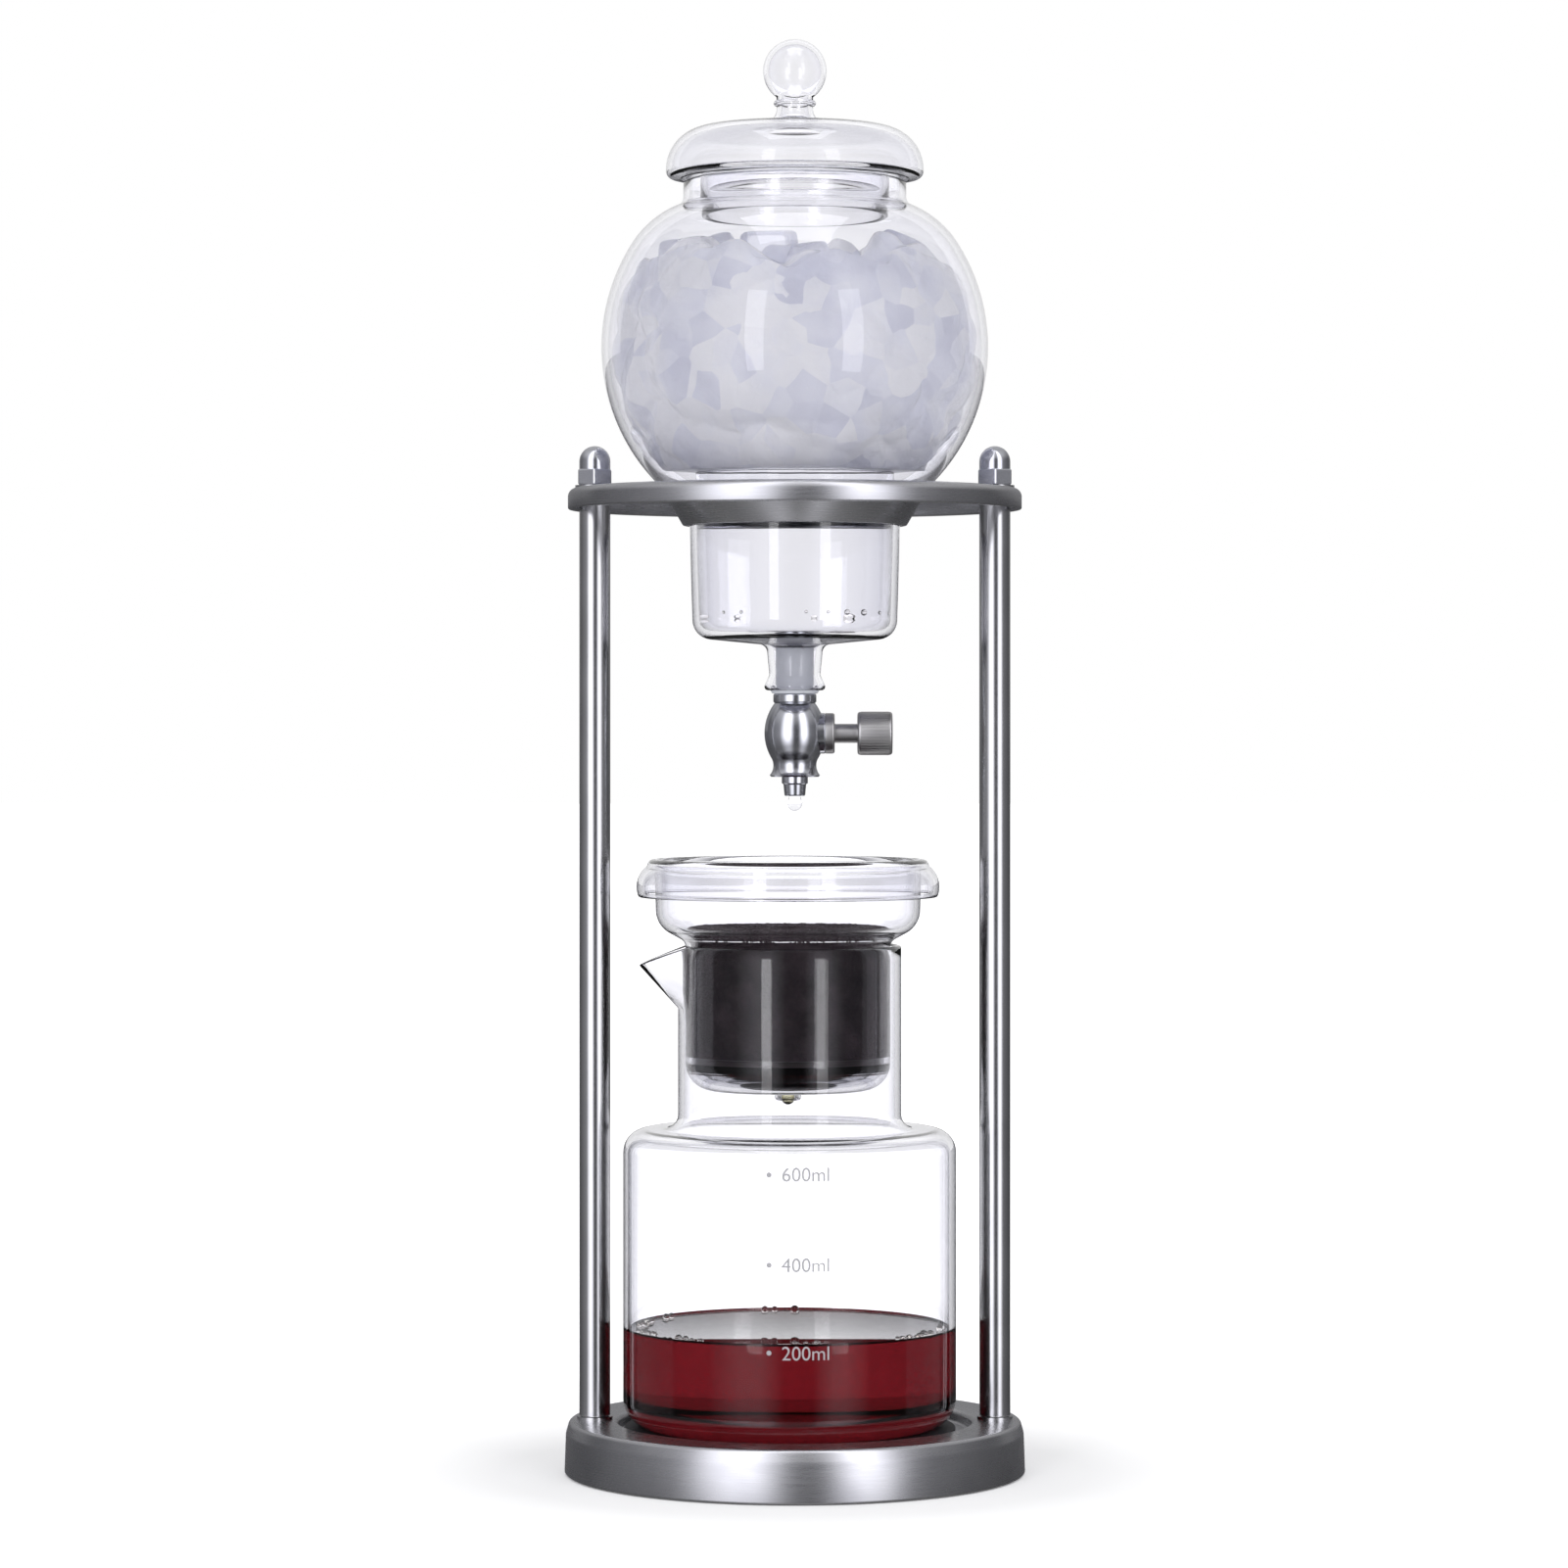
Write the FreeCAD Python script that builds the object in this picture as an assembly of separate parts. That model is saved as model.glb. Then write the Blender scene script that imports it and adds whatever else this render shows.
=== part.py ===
# Cold drip coffee tower: a steel stand holds a glass ice globe with a needle
# drip valve over a glass brew cup, which sits in the neck of a glass carafe.
# Millimetres, +Z up. The origin is under the middle of the base, on the table.
# The front of the tower faces -Y, and the valve knob points along +X.

import FreeCAD
import Part
import math
import os

# The carafe's width sets how wide the base, the posts and the top plate are
carafe_radius = 51.0
well_play = 3.0
post_inset = 7.3
base_margin = 9.2
plate_margin = 8.2

# Base
base_height = 16.0
base_taper = 0.4
base_shoulder_height = 12.2
base_shoulder_set_in = 1.5
base_shoulder_round = 5.0
base_sheet = 1.2
base_edge_round = 1.4
base_skirt_gap = 0.8
well_depth = 4.0
well_edge_round = 1.6
well_floor_round = 1.0
foot_pad_thickness = 1.5
ballast_play = 0.7
ballast_chamfer = 1.0

# Mat under the carafe
mat_play = 3.2
mat_thickness = 2.0
mat_round = 0.5

# Posts and their fasteners
post_diameter = 9.5
post_chamfer = 0.5
screw_diameter = 6.0
screw_hole_play = 0.3
thread_play = 0.03
screw_head_diameter = 10.0
screw_head_height = 4.0
screw_hex_key = 4.0
screw_grip = 12.0
counterbore_play = 0.5
counterbore_depth = 6.0
lock_washer_diameter = 10.4
lock_washer_thickness = 1.6
spacer_diameter = 11.0
foot_washer_diameter = 11.0
foot_washer_thickness = 1.0
stud_grip = 12.0
top_washer_diameter = 12.0
top_washer_thickness = 1.0
nut_flats = 10.0
nut_height = 12.0
nut_hex_height = 5.0
nut_dome_diameter = 9.5
nut_thread_depth = 8.5

# Top plate with its plunged seat
plate_sheet = 1.2
plate_rim_depth = 5.9
plate_edge_round = 2.6
plunge_depth = 10.5
plunge_angle = 30.0
plunge_round = 8.0
throat_clearance = 1.0
seat_gap = 0.3

# Share of a glass wall that the rounding of its rim takes
rim_share = 0.4

# Ice globe, the outside of one glass wall
globe_radius = 59.25
globe_wall = 2.0
shoulder_angle = 32.4
shoulder_round = 29.7
mouth_radius = 34.2
mouth_height = 5.0
mouth_round = 3.0
throat_radius = 32.4
throat_foot_radius = 31.2
throat_join_round = 3.0
throat_foot_round = 6.0
throat_foot_fall = 2.2
outlet_reach = 104.4
outlet_length = 13.3
outlet_root_radius = 8.7
outlet_waist_radius = 7.8
outlet_lip_radius = 9.3
outlet_lip_height = 4.2
outlet_lip_edge = 0.9
outlet_round = 2.5

# Stopper, inlet tube and collar
stopper_height = 13.0
stopper_flange_radius = 7.8
stopper_flange_foot = 6.9
stopper_flange_height = 1.6
stopper_squeeze_gap = 0.05
inlet_tube_radius = 2.5
inlet_tube_bore = 1.5
inlet_tube_rise = 2.0
inlet_tube_depth = 4.0
collar_radius = 6.6
collar_height = 2.9
collar_chamfer = 0.4

# Needle valve, heights from the bottom of its body
valve_height = 22.6
valve_top_radius = 6.2
valve_belly_radius = 9.3
valve_belly_height = 13.3
valve_waist_radius = 6.6
valve_waist_height = 3.8
valve_foot_radius = 7.7
valve_foot_height = 0.5
valve_foot_chamfer = 0.4
valve_neck_flare = 0.4
valve_neck_rise = 1.6
boss_radius = 6.2
boss_reach = 9.4
spindle_bore = 2.65
seat_face = -1.0
seat_length = 2.0
seat_orifice = 0.7
side_chamber_end = -7.0
side_chamber_radius = 1.4
feed_radius = 0.8
feed_start = (-1.5, 19.6)
feed_end = (-6.2, 13.3)
outlet_bore = 1.0
gland_radius = 4.4
gland_depth = 3.9
gland_seal_length = 2.0
packing_nut_radius = 6.2
packing_nut_length = 2.8
packing_nut_chamfer = 0.7

# Spindle and knob
running_gap = 0.05
spindle_radius = 2.9
spindle_thread_start = 2.1
spindle_thread_end = 5.4
needle_radius = 1.2
needle_tip_radius = 0.25
needle_cone_length = 3.545
needle_neck_radius = 2.4
needle_opening = 0.375
knob_radius = 6.6
knob_start = 19.2
knob_length = 10.7
knob_round = 0.9
knob_bore_depth = 8.0
knob_grip_count = 24
knob_grip_depth = 0.25
set_screw_radius = 1.5
set_screw_place = 3.8
set_screw_sunk = 0.8

# Drip nozzle
nozzle_length = 5.9
nozzle_root_radius = 3.5
nozzle_tip_radius = 3.15
nozzle_bore = 1.0
nozzle_spigot_radius = 2.6
nozzle_spigot_length = 4.0

# Lid
lid_wall = 1.6
lid_rest_gap = 0.3
lid_brim_radius = 39.5
lid_brim_foot = 0.84
lid_brim_round = 2.0
lid_dome_height = 15.0
lid_dome_top_height = 18.0
lid_dome_round = 13.0
lid_stem_radius = 5.6
lid_stem_round = 4.0
lid_ball_radius = 9.75
lid_ball_height = 33.3
lid_bead_radius = 0.9
lid_bead_height = 23.4
lid_skirt_radius = 28.8
lid_skirt_depth = 10.5
lid_skirt_round = 2.0
lid_seat_radius = 35.0

# Carafe
carafe_shift = -1.6
carafe_height = 147.3
carafe_wall = 1.8
carafe_foot_round = 8.5
carafe_shoulder_height = 91.0
carafe_shoulder_round = 7.0
neck_radius = 34.2
neck_foot_round = 4.5
spout_reach = 12.2
spout_drop = 5.9
spout_rim_drop = 0.9
spout_root_drop = 20.6
spout_half_width = 13.0
spout_middle_half_width = 7.2
spout_tip_half_width = 2.8
spout_tip_depth = 2.4
spout_root_walls = 1.5
spout_middle_share = 0.45
spout_low_share = 4 / 3
spout_end_share = 0.48
spout_side_share = 0.64
spout_floor_share = 1.04

# Brew cup
cup_shift = -2.1
cup_wall = 1.7
cup_play = 1.0
cup_seat_rise = 0.35
cup_join_round = 3.0
bowl_floor_rise = 5.0
bowl_taper = 0.5
bowl_radius = 40.9
bowl_height = 26.0
bowl_foot_round = 8.0
bowl_rim_round = 2.0
skirt_radius = 46.0
skirt_depth = 11.0
skirt_bulge = 1.4
skirt_bulge_lift = 0.56
skirt_bead_radius = 1.1
skirt_bead_out = 0.6
cup_depth = 44.2
cup_foot_round = 8.5
cup_foot_fall = 0.6
nub_radius = 4.0
nub_length = 3.0
nub_round = 1.2

# Filter at the bottom of the cup
gasket_rise = 4.6
gasket_height = 4.0
gasket_width = 3.2
gasket_gap = 0.2
gasket_chamfer = 0.9
screen_thickness = 0.8
screen_grip = 1.2
screen_hole_radius = 1.1
screen_hole_spacing = 5.6
screen_hole_rings = 3

# Ice in the globe
ice_gap = 0.5
ice_foot_rise = 66.2
ice_foot_round = 4.0
ice_top_rise = 24.0
ice_chunk = 17.0
ice_chunk_round = 2.5
ice_chunk_sink = 3.0
ice_chunk_reach = 26.0
ice_chunk_count = 6

# Coffee grounds in the cup, with the hollow that the drip makes
grounds_gap = 0.1
grounds_rise = 2.65
grounds_spread = 31.3
grounds_flare = 2.0
grounds_edge = 0.5
hollow_radius = 7.5
hollow_foot_radius = 4.5
hollow_depth = 10.0

# Gap under the nozzle, which sets how high the posts carry the globe
drip_gap = 19.3

# Sizes that follow from the ones above
well_radius = carafe_radius + well_play
post_x = well_radius + post_inset
base_radius = post_x + base_margin
plate_radius = post_x + plate_margin
mat_radius = well_radius - mat_play
well_floor = base_height - well_depth
mat_top = well_floor + mat_thickness
carafe_rim = mat_top + carafe_height
cup_shoulder = carafe_rim + cup_seat_rise
bowl_rim = cup_shoulder + bowl_height
nozzle_tip = bowl_rim + drip_gap
valve_bottom = nozzle_tip + nozzle_length
valve_axis = valve_bottom + valve_belly_height
valve_top = valve_bottom + valve_height
collar_top = valve_top + collar_height
outlet_lip = collar_top + stopper_flange_height
globe_centre = outlet_lip + outlet_reach
slope = math.tan(math.radians(plunge_angle))
plunge_radius = throat_radius + throat_clearance
plunge_bend_radius = plunge_radius + (plunge_depth + plunge_round) * slope
seat_reach = globe_radius + seat_gap + plunge_round
seat_height = math.sqrt(seat_reach ** 2 - plunge_bend_radius ** 2)
plate_top = globe_centre - seat_height + plunge_round
plate_under = plate_top - plate_sheet
post_foot = base_height + foot_washer_thickness
ballast_radius = base_radius - base_taper - base_sheet - ballast_play
ballast_top = well_floor - base_sheet
screw_hole_radius = screw_diameter / 2 + screw_hole_play
thread_radius = screw_diameter / 2 + thread_play
mouth_foot = math.sqrt((shoulder_round + mouth_round) ** 2
                       - (mouth_radius + mouth_round
                          - (globe_radius - shoulder_round)
                          * math.cos(math.radians(shoulder_angle))) ** 2)
mouth_foot += (globe_radius - shoulder_round) * math.sin(math.radians(shoulder_angle))
mouth_rim = globe_centre + mouth_foot + mouth_height
cup_radius = neck_radius - carafe_wall - cup_play
cup_bottom = carafe_rim - cup_depth
neck_height = carafe_height - carafe_shoulder_height

origin = FreeCAD.Vector(0, 0, 0)
up = FreeCAD.Vector(0, 0, 1)
across = FreeCAD.Vector(1, 0, 0)


# Shape helpers. Outlines are drawn in the XZ plane as (radius, height)
def point(radius, height):
    return FreeCAD.Vector(radius, 0, height)


def line(start, end):
    return Part.LineSegment(start, end).toShape()


def arc(start, middle, end):
    return Part.Arc(start, middle, end).toShape()


def arc_about(centre, start, end):
    reach = (start - centre).Length
    middle = centre + ((start + end) * 0.5 - centre).normalize() * reach
    return arc(start, middle, end)


def rounded_run(corners):
    """Edges through (radius, height, round) corners; the two ends have no round."""
    places = [point(corner[0], corner[1]) for corner in corners]
    edges = []
    start = places[0]
    for index in range(1, len(corners) - 1):
        corner = places[index]
        back = (places[index - 1] - corner).normalize()
        ahead = (places[index + 1] - corner).normalize()
        round_radius = corners[index][2]
        if round_radius == 0:
            edges.append(line(start, corner))
            start = corner
            continue
        half_angle = back.getAngle(ahead) / 2
        tangent = round_radius / math.tan(half_angle)
        centre = corner + (back + ahead).normalize() * (round_radius / math.sin(half_angle))
        enter = corner + back * tangent
        leave = corner + ahead * tangent
        edges.append(line(start, enter))
        edges.append(arc_about(centre, enter, leave))
        start = leave
    edges.append(line(start, places[-1]))
    return edges


def turned(edges):
    """A solid of revolution about Z from a closed outline."""
    face = Part.Face(Part.Wire(edges))
    return face.revolve(origin, up, 360)


def turned_corners(corners):
    closed = list(corners) + [corners[0]]
    return turned(rounded_run(closed))


def turned_sheet(edges, wall):
    """A wall of even thickness, turned about Z; wall > 0 lies left of the run."""
    face = Part.Wire(edges).makeOffset2D(wall, 0, True, True)
    return face.Faces[0].revolve(origin, up, 360)


def edges_at_height(shape, height):
    level = [edge for edge in shape.Edges
             if abs(edge.BoundBox.ZMin - height) < 1e-4
             and abs(edge.BoundBox.ZMax - height) < 1e-4]
    return level


def rounded_rim(shape, height, radius):
    return shape.makeFillet(radius, edges_at_height(shape, height))


def rod(radius, bottom, top, x=0.0, y=0.0):
    return Part.makeCylinder(radius, top - bottom, FreeCAD.Vector(x, y, bottom), up)


def ring(radius, bore, bottom, top, x=0.0):
    return rod(radius, bottom, top, x).cut(rod(bore, bottom, top, x))


def bar(radius, start, end):
    """A round bar along X on the spindle's axis."""
    return Part.makeCylinder(radius, end - start, FreeCAD.Vector(start, 0, valve_axis), across)


def chamfered_rod(radius, bottom, top, chamfer, x=0.0):
    shape = rod(radius, bottom, top, x)
    rims = edges_at_height(shape, bottom) + edges_at_height(shape, top)
    return shape.makeChamfer(chamfer, rims)


def at_posts(make):
    """The same solid at the left and at the right post."""
    return Part.makeCompound([make(-post_x), make(post_x)])


def hexagon(flats, bottom, height, x=0.0):
    reach = flats / math.sqrt(3)
    corners = []
    for step in range(7):
        turn = math.radians(60 * step + 30)
        corners.append(FreeCAD.Vector(x + reach * math.cos(turn), reach * math.sin(turn), bottom))
    return Part.Face(Part.makePolygon(corners)).extrude(up * height)


# Base
def base_pan():
    run = rounded_run([
        (base_radius, base_skirt_gap),
        (base_radius - base_taper, base_shoulder_height, base_shoulder_round),
        (base_radius - base_shoulder_set_in, base_height, base_edge_round),
        (well_radius, base_height, well_edge_round),
        (well_radius, well_floor, well_floor_round),
        (0, well_floor)])
    shape = turned_sheet(run, base_sheet)
    for x in (-post_x, post_x):
        shape = shape.cut(rod(screw_hole_radius, well_floor, base_height + 1, x))
    return shape


def ballast_plate():
    shape = chamfered_rod(ballast_radius, foot_pad_thickness, ballast_top, ballast_chamfer)
    counterbore = screw_head_diameter / 2 + counterbore_play
    for x in (-post_x, post_x):
        shape = shape.cut(rod(screw_hole_radius, 0, ballast_top, x))
        shape = shape.cut(rod(counterbore, 0, foot_pad_thickness + counterbore_depth, x))
    return shape


def foot_pad():
    return rod(ballast_radius, 0, foot_pad_thickness)


def carafe_mat():
    shape = rod(mat_radius, well_floor, mat_top, carafe_shift)
    return rounded_rim(shape, mat_top, mat_round)


# Posts
def post(x):
    top = plate_under
    shape = chamfered_rod(post_diameter / 2, post_foot, top, post_chamfer, x)
    foot_hole = rod(thread_radius, post_foot, post_foot + screw_grip + screw_diameter, x)
    head_hole = rod(thread_radius, top - stud_grip - screw_diameter, top, x)
    return shape.cut(foot_hole).cut(head_hole)


def post_left():
    return post(-post_x)


def post_right():
    return post(post_x)


def post_foot_washers():
    return at_posts(lambda x: ring(foot_washer_diameter / 2, screw_hole_radius,
                                   base_height, post_foot, x))


def post_spacers():
    return at_posts(lambda x: ring(spacer_diameter / 2, screw_hole_radius,
                                   ballast_top, base_height - base_sheet, x))


def post_lock_washers():
    top = foot_pad_thickness + counterbore_depth
    return at_posts(lambda x: ring(lock_washer_diameter / 2, screw_hole_radius,
                                   top - lock_washer_thickness, top, x))


def post_screws():
    seat = foot_pad_thickness + counterbore_depth - lock_washer_thickness

    def screw(x):
        head = rod(screw_head_diameter / 2, seat - screw_head_height, seat, x)
        key = hexagon(screw_hex_key, seat - screw_head_height, screw_head_height / 2, x)
        shank = rod(screw_diameter / 2, seat, post_foot + screw_grip, x)
        return head.cut(key).fuse(shank)

    return at_posts(screw)


def top_studs():
    top = plate_top + top_washer_thickness + nut_thread_depth
    return at_posts(lambda x: rod(screw_diameter / 2, plate_under - stud_grip, top, x))


def top_washers():
    return at_posts(lambda x: ring(top_washer_diameter / 2, screw_hole_radius,
                                   plate_top, plate_top + top_washer_thickness, x))


def acorn_nuts():
    foot = plate_top + top_washer_thickness
    dome_radius = nut_dome_diameter / 2
    corner_radius = nut_flats / math.sqrt(3)
    ball = foot + nut_height - dome_radius

    def nut(x):
        cone_rise = (corner_radius - nut_flats / 2) * slope
        blank = turned_corners([
            (0, foot), (nut_flats / 2, foot, 0), (corner_radius, foot + cone_rise, 0),
            (corner_radius, foot + nut_hex_height - cone_rise, 0),
            (nut_flats / 2, foot + nut_hex_height, 0), (0, foot + nut_hex_height, 0)])
        blank.translate(FreeCAD.Vector(x, 0, 0))
        hexed = hexagon(nut_flats, foot, nut_hex_height, x).common(blank)
        dome = rod(dome_radius, foot + nut_hex_height, ball, x)
        cap = Part.makeSphere(dome_radius, FreeCAD.Vector(x, 0, ball), up, 0, 90, 360)
        thread = rod(thread_radius, foot, foot + nut_thread_depth, x)
        return hexed.fuse(dome).fuse(cap).removeSplitter().cut(thread)

    return at_posts(nut)


# Top plate
def top_plate():
    corner_radius = plunge_radius + plunge_depth * slope
    run = rounded_run([
        (plate_radius, plate_top - plate_rim_depth),
        (plate_radius, plate_top, plate_edge_round),
        (corner_radius, plate_top, plunge_round),
        (plunge_radius, plate_top - plunge_depth)])
    shape = turned_sheet(run, plate_sheet)
    for x in (-post_x, post_x):
        shape = shape.cut(rod(screw_hole_radius, plate_under - 1, plate_top + 1, x))
    return shape


# Ice globe
def ice_globe():
    middle = point(0, globe_centre)
    lean = math.radians(shoulder_angle)
    outward = point(math.cos(lean), math.sin(lean))
    shoulder_middle = middle + outward * (globe_radius - shoulder_round)
    shoulder_end = middle + outward * globe_radius
    mouth_middle = point(mouth_radius + mouth_round, globe_centre + mouth_foot)
    mouth_end = point(mouth_radius, globe_centre + mouth_foot)
    towards = (mouth_middle - shoulder_middle).normalize()
    shoulder_start = shoulder_middle + towards * shoulder_round
    join_drop = math.sqrt((globe_radius + throat_join_round) ** 2
                          - (throat_radius + throat_join_round) ** 2)
    join_middle = point(throat_radius + throat_join_round, globe_centre - join_drop)
    join_start = middle + (join_middle - middle).normalize() * globe_radius
    join_end = point(throat_radius, globe_centre - join_drop)
    throat_foot = outlet_lip + outlet_length + throat_foot_fall
    run = [
        line(point(mouth_radius, mouth_rim), mouth_end),
        arc_about(mouth_middle, mouth_end, shoulder_start),
        arc_about(shoulder_middle, shoulder_start, shoulder_end),
        arc(shoulder_end, middle + across * globe_radius, join_start),
        arc_about(join_middle, join_start, join_end)]
    run += rounded_run([
        (throat_radius, globe_centre - join_drop),
        (throat_foot_radius, throat_foot, throat_foot_round),
        (outlet_root_radius, outlet_lip + outlet_length, outlet_round),
        (outlet_waist_radius, outlet_lip + outlet_lip_height, outlet_round),
        (outlet_lip_radius, outlet_lip + outlet_lip_edge, outlet_lip_edge),
        (outlet_lip_radius, outlet_lip)])
    shape = turned_sheet(run, -globe_wall)
    return rounded_rim(shape, mouth_rim, globe_wall * rim_share)


def outlet_stopper():
    bore = outlet_waist_radius - globe_wall - stopper_squeeze_gap
    shape = turned_corners([
        (inlet_tube_radius, collar_top),
        (stopper_flange_foot, collar_top, 0),
        (stopper_flange_radius, outlet_lip, 0),
        (bore, outlet_lip, 0),
        (bore, outlet_lip + stopper_height, 0),
        (inlet_tube_radius, outlet_lip + stopper_height, 0)])
    return shape


def valve_inlet_tube():
    bottom = valve_top - inlet_tube_depth
    top = outlet_lip + stopper_height + inlet_tube_rise
    return ring(inlet_tube_radius, inlet_tube_bore, bottom, top)


def inlet_collar():
    shape = ring(collar_radius, inlet_tube_radius, valve_top, collar_top)
    rims = [edge for edge in edges_at_height(shape, collar_top) + edges_at_height(shape, valve_top)
            if edge.Curve.Radius > inlet_tube_radius + 1]
    return shape.makeChamfer(collar_chamfer, rims)


# Needle valve
def valve_body():
    waist = valve_bottom + valve_waist_height
    belly_low = point(valve_waist_radius + valve_neck_flare, waist + valve_neck_rise)
    foot = point(valve_foot_radius - valve_foot_chamfer, valve_bottom)
    outline = [
        line(point(0, valve_bottom), foot),
        line(foot, point(valve_foot_radius, valve_bottom + valve_foot_height)),
        arc(point(valve_foot_radius, valve_bottom + valve_foot_height),
            point(valve_waist_radius, waist), belly_low),
        arc(belly_low, point(valve_belly_radius, valve_axis), point(valve_top_radius, valve_top)),
        line(point(valve_top_radius, valve_top), point(0, valve_top)),
        line(point(0, valve_top), point(0, valve_bottom))]
    shape = turned(outline).fuse(bar(boss_radius, 0, boss_reach))
    shape = shape.cut(rod(inlet_tube_radius, valve_top - inlet_tube_depth, valve_top))
    start = point(feed_start[0], valve_bottom + feed_start[1])
    feed = point(feed_end[0], valve_bottom + feed_end[1]) - start
    shape = shape.cut(Part.makeCylinder(feed_radius, feed.Length, start, feed))
    shape = shape.cut(bar(side_chamber_radius, side_chamber_end, 0))
    shape = shape.cut(bar(spindle_bore, seat_face - seat_length, boss_reach))
    shape = shape.cut(bar(gland_radius, boss_reach - gland_depth, boss_reach))
    shape = shape.cut(rod(outlet_bore, valve_bottom, valve_axis))
    spigot_top = valve_bottom + nozzle_spigot_length
    return shape.cut(rod(nozzle_spigot_radius, valve_bottom, spigot_top))


def valve_seat():
    start = seat_face - seat_length
    return bar(spindle_bore - thread_play, start, seat_face).cut(bar(seat_orifice, start, seat_face))


def drip_nozzle():
    shape = turned_corners([
        (nozzle_bore, nozzle_tip),
        (nozzle_tip_radius, nozzle_tip, 0),
        (nozzle_root_radius, valve_bottom, 0),
        (nozzle_spigot_radius - thread_play, valve_bottom, 0),
        (nozzle_spigot_radius - thread_play, valve_bottom + nozzle_spigot_length, 0),
        (nozzle_bore, valve_bottom + nozzle_spigot_length, 0)])
    return shape


def packing_seal():
    start = boss_reach - gland_depth
    end = start + gland_seal_length
    return bar(gland_radius - thread_play, start, end).cut(bar(spindle_radius + running_gap, start, end))


def packing_nut():
    start = boss_reach - gland_depth + gland_seal_length
    end = boss_reach + packing_nut_length
    head = bar(packing_nut_radius, boss_reach, end)
    outer_rim = [edge for edge in head.Edges if abs(edge.BoundBox.XMin - end) < 1e-4]
    head = head.makeChamfer(packing_nut_chamfer, outer_rim)
    spigot = bar(gland_radius - thread_play, start, boss_reach)
    return head.fuse(spigot).cut(bar(spindle_radius + running_gap, start, end))


# Spindle and knob
def valve_spindle():
    cone_tip = seat_face - (seat_orifice - running_gap - needle_tip_radius) * needle_cone_length \
        / (needle_radius - needle_tip_radius) + needle_opening
    cone_end = cone_tip + needle_cone_length
    cone = Part.makeCone(needle_tip_radius, needle_radius, needle_cone_length,
                         FreeCAD.Vector(cone_tip, 0, valve_axis), across)
    needle = bar(needle_radius, cone_end, spindle_thread_start)
    thread = bar(spindle_bore - running_gap, spindle_thread_start, spindle_thread_end)
    stem_start = boss_reach - gland_depth + needle_opening + running_gap
    stem = bar(spindle_radius, stem_start, knob_start + knob_bore_depth - running_gap)
    neck = bar(needle_neck_radius, spindle_thread_end, stem_start)
    return cone.fuse(needle).fuse(thread).fuse(neck).fuse(stem).removeSplitter()


def valve_knob():
    end = knob_start + knob_length
    shape = bar(knob_radius, knob_start, end)
    grip_start = knob_start + knob_round
    grip_length = knob_length - 2 * knob_round
    grooves = []
    for step in range(knob_grip_count):
        turn = 2 * math.pi * step / knob_grip_count
        middle = FreeCAD.Vector(grip_start, knob_radius * math.sin(turn),
                                valve_axis + knob_radius * math.cos(turn))
        grooves.append(Part.makeCylinder(knob_grip_depth, grip_length, middle, across))
    rims = [edge for edge in shape.Edges
            if edge.BoundBox.XMax - edge.BoundBox.XMin < 1e-4]
    shape = shape.makeFillet(knob_round, rims)
    shape = shape.cut(grooves)
    shape = shape.cut(bar(spindle_radius + running_gap, knob_start, knob_start + knob_bore_depth))
    return shape.cut(set_screw(set_screw_radius, 0, knob_radius + 1))


def set_screw(radius, near, far):
    """A round bar from near to far below the spindle's axis, for the screw or its hole."""
    place = FreeCAD.Vector(knob_start + set_screw_place, 0, valve_axis - near)
    return Part.makeCylinder(radius, far - near, place, -up)


def knob_set_screw():
    tip = spindle_radius + 2 * running_gap
    return set_screw(set_screw_radius - thread_play, tip, knob_radius - set_screw_sunk)


# Lid
def globe_lid():
    rest = mouth_rim + lid_rest_gap
    ball = point(0, rest + lid_ball_height)
    ball_drop = math.sqrt(lid_ball_radius ** 2 - lid_stem_radius ** 2)
    ball_foot = ball - point(-lid_stem_radius, ball_drop)
    run = [arc(ball + point(0, lid_ball_radius), ball + point(lid_ball_radius, 0), ball_foot)]
    run += rounded_run([
        (ball_foot.x, ball_foot.z),
        (lid_stem_radius, rest + lid_dome_top_height, lid_stem_round),
        (lid_brim_radius, rest + lid_dome_height, lid_dome_round),
        (lid_brim_radius, rest + lid_brim_foot, lid_brim_round),
        (lid_seat_radius, rest, lid_brim_round),
        (lid_skirt_radius, rest, lid_skirt_round),
        (lid_skirt_radius, rest - lid_skirt_depth)])
    bead = Part.makeTorus(lid_stem_radius, lid_bead_radius, point(0, rest + lid_bead_height))
    return turned_sheet(run, -lid_wall).fuse(bead)


# Carafe
def trough(x, half_width, top, bottom):
    """A U-shaped section across the spout, open side up, at x."""
    low = top - (top - bottom) * spout_low_share
    middle = half_width * spout_middle_share
    poles = [FreeCAD.Vector(x, -half_width, top), FreeCAD.Vector(x, -middle, low),
             FreeCAD.Vector(x, middle, low), FreeCAD.Vector(x, half_width, top)]
    curve = Part.BezierCurve()
    curve.setPoles(poles)
    return Part.Wire([curve.toShape(), line(poles[3], poles[0])])


def spout(inset, lift):
    """The pouring beak's outside at inset 0, or its hollow at an inset of one wall.

    The slanted sides take less of the inset than the steep floor does.
    """
    root_x = -(neck_radius - carafe_wall * spout_root_walls)
    tip_x = -(neck_radius + spout_reach)
    tip_top = carafe_rim - spout_drop
    tip_low = tip_top - spout_tip_depth
    root_low = carafe_rim - spout_root_drop
    half_widths = (spout_half_width, spout_middle_half_width, spout_tip_half_width)
    root_top = carafe_rim - spout_rim_drop
    tops = (root_top, (root_top + tip_top) / 2, tip_top)
    lows = (root_low, (root_low + tip_low) / 2, tip_low)
    sections = []
    for share, half_width, top, low in zip((0, 0.5, 1), half_widths, tops, lows):
        x = root_x + (tip_x - root_x) * share - inset * spout_end_share * share
        sections.append(trough(x, half_width - inset * spout_side_share, top + lift,
                               low + inset * spout_floor_share))
    return Part.makeLoft(sections, True, False)


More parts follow.
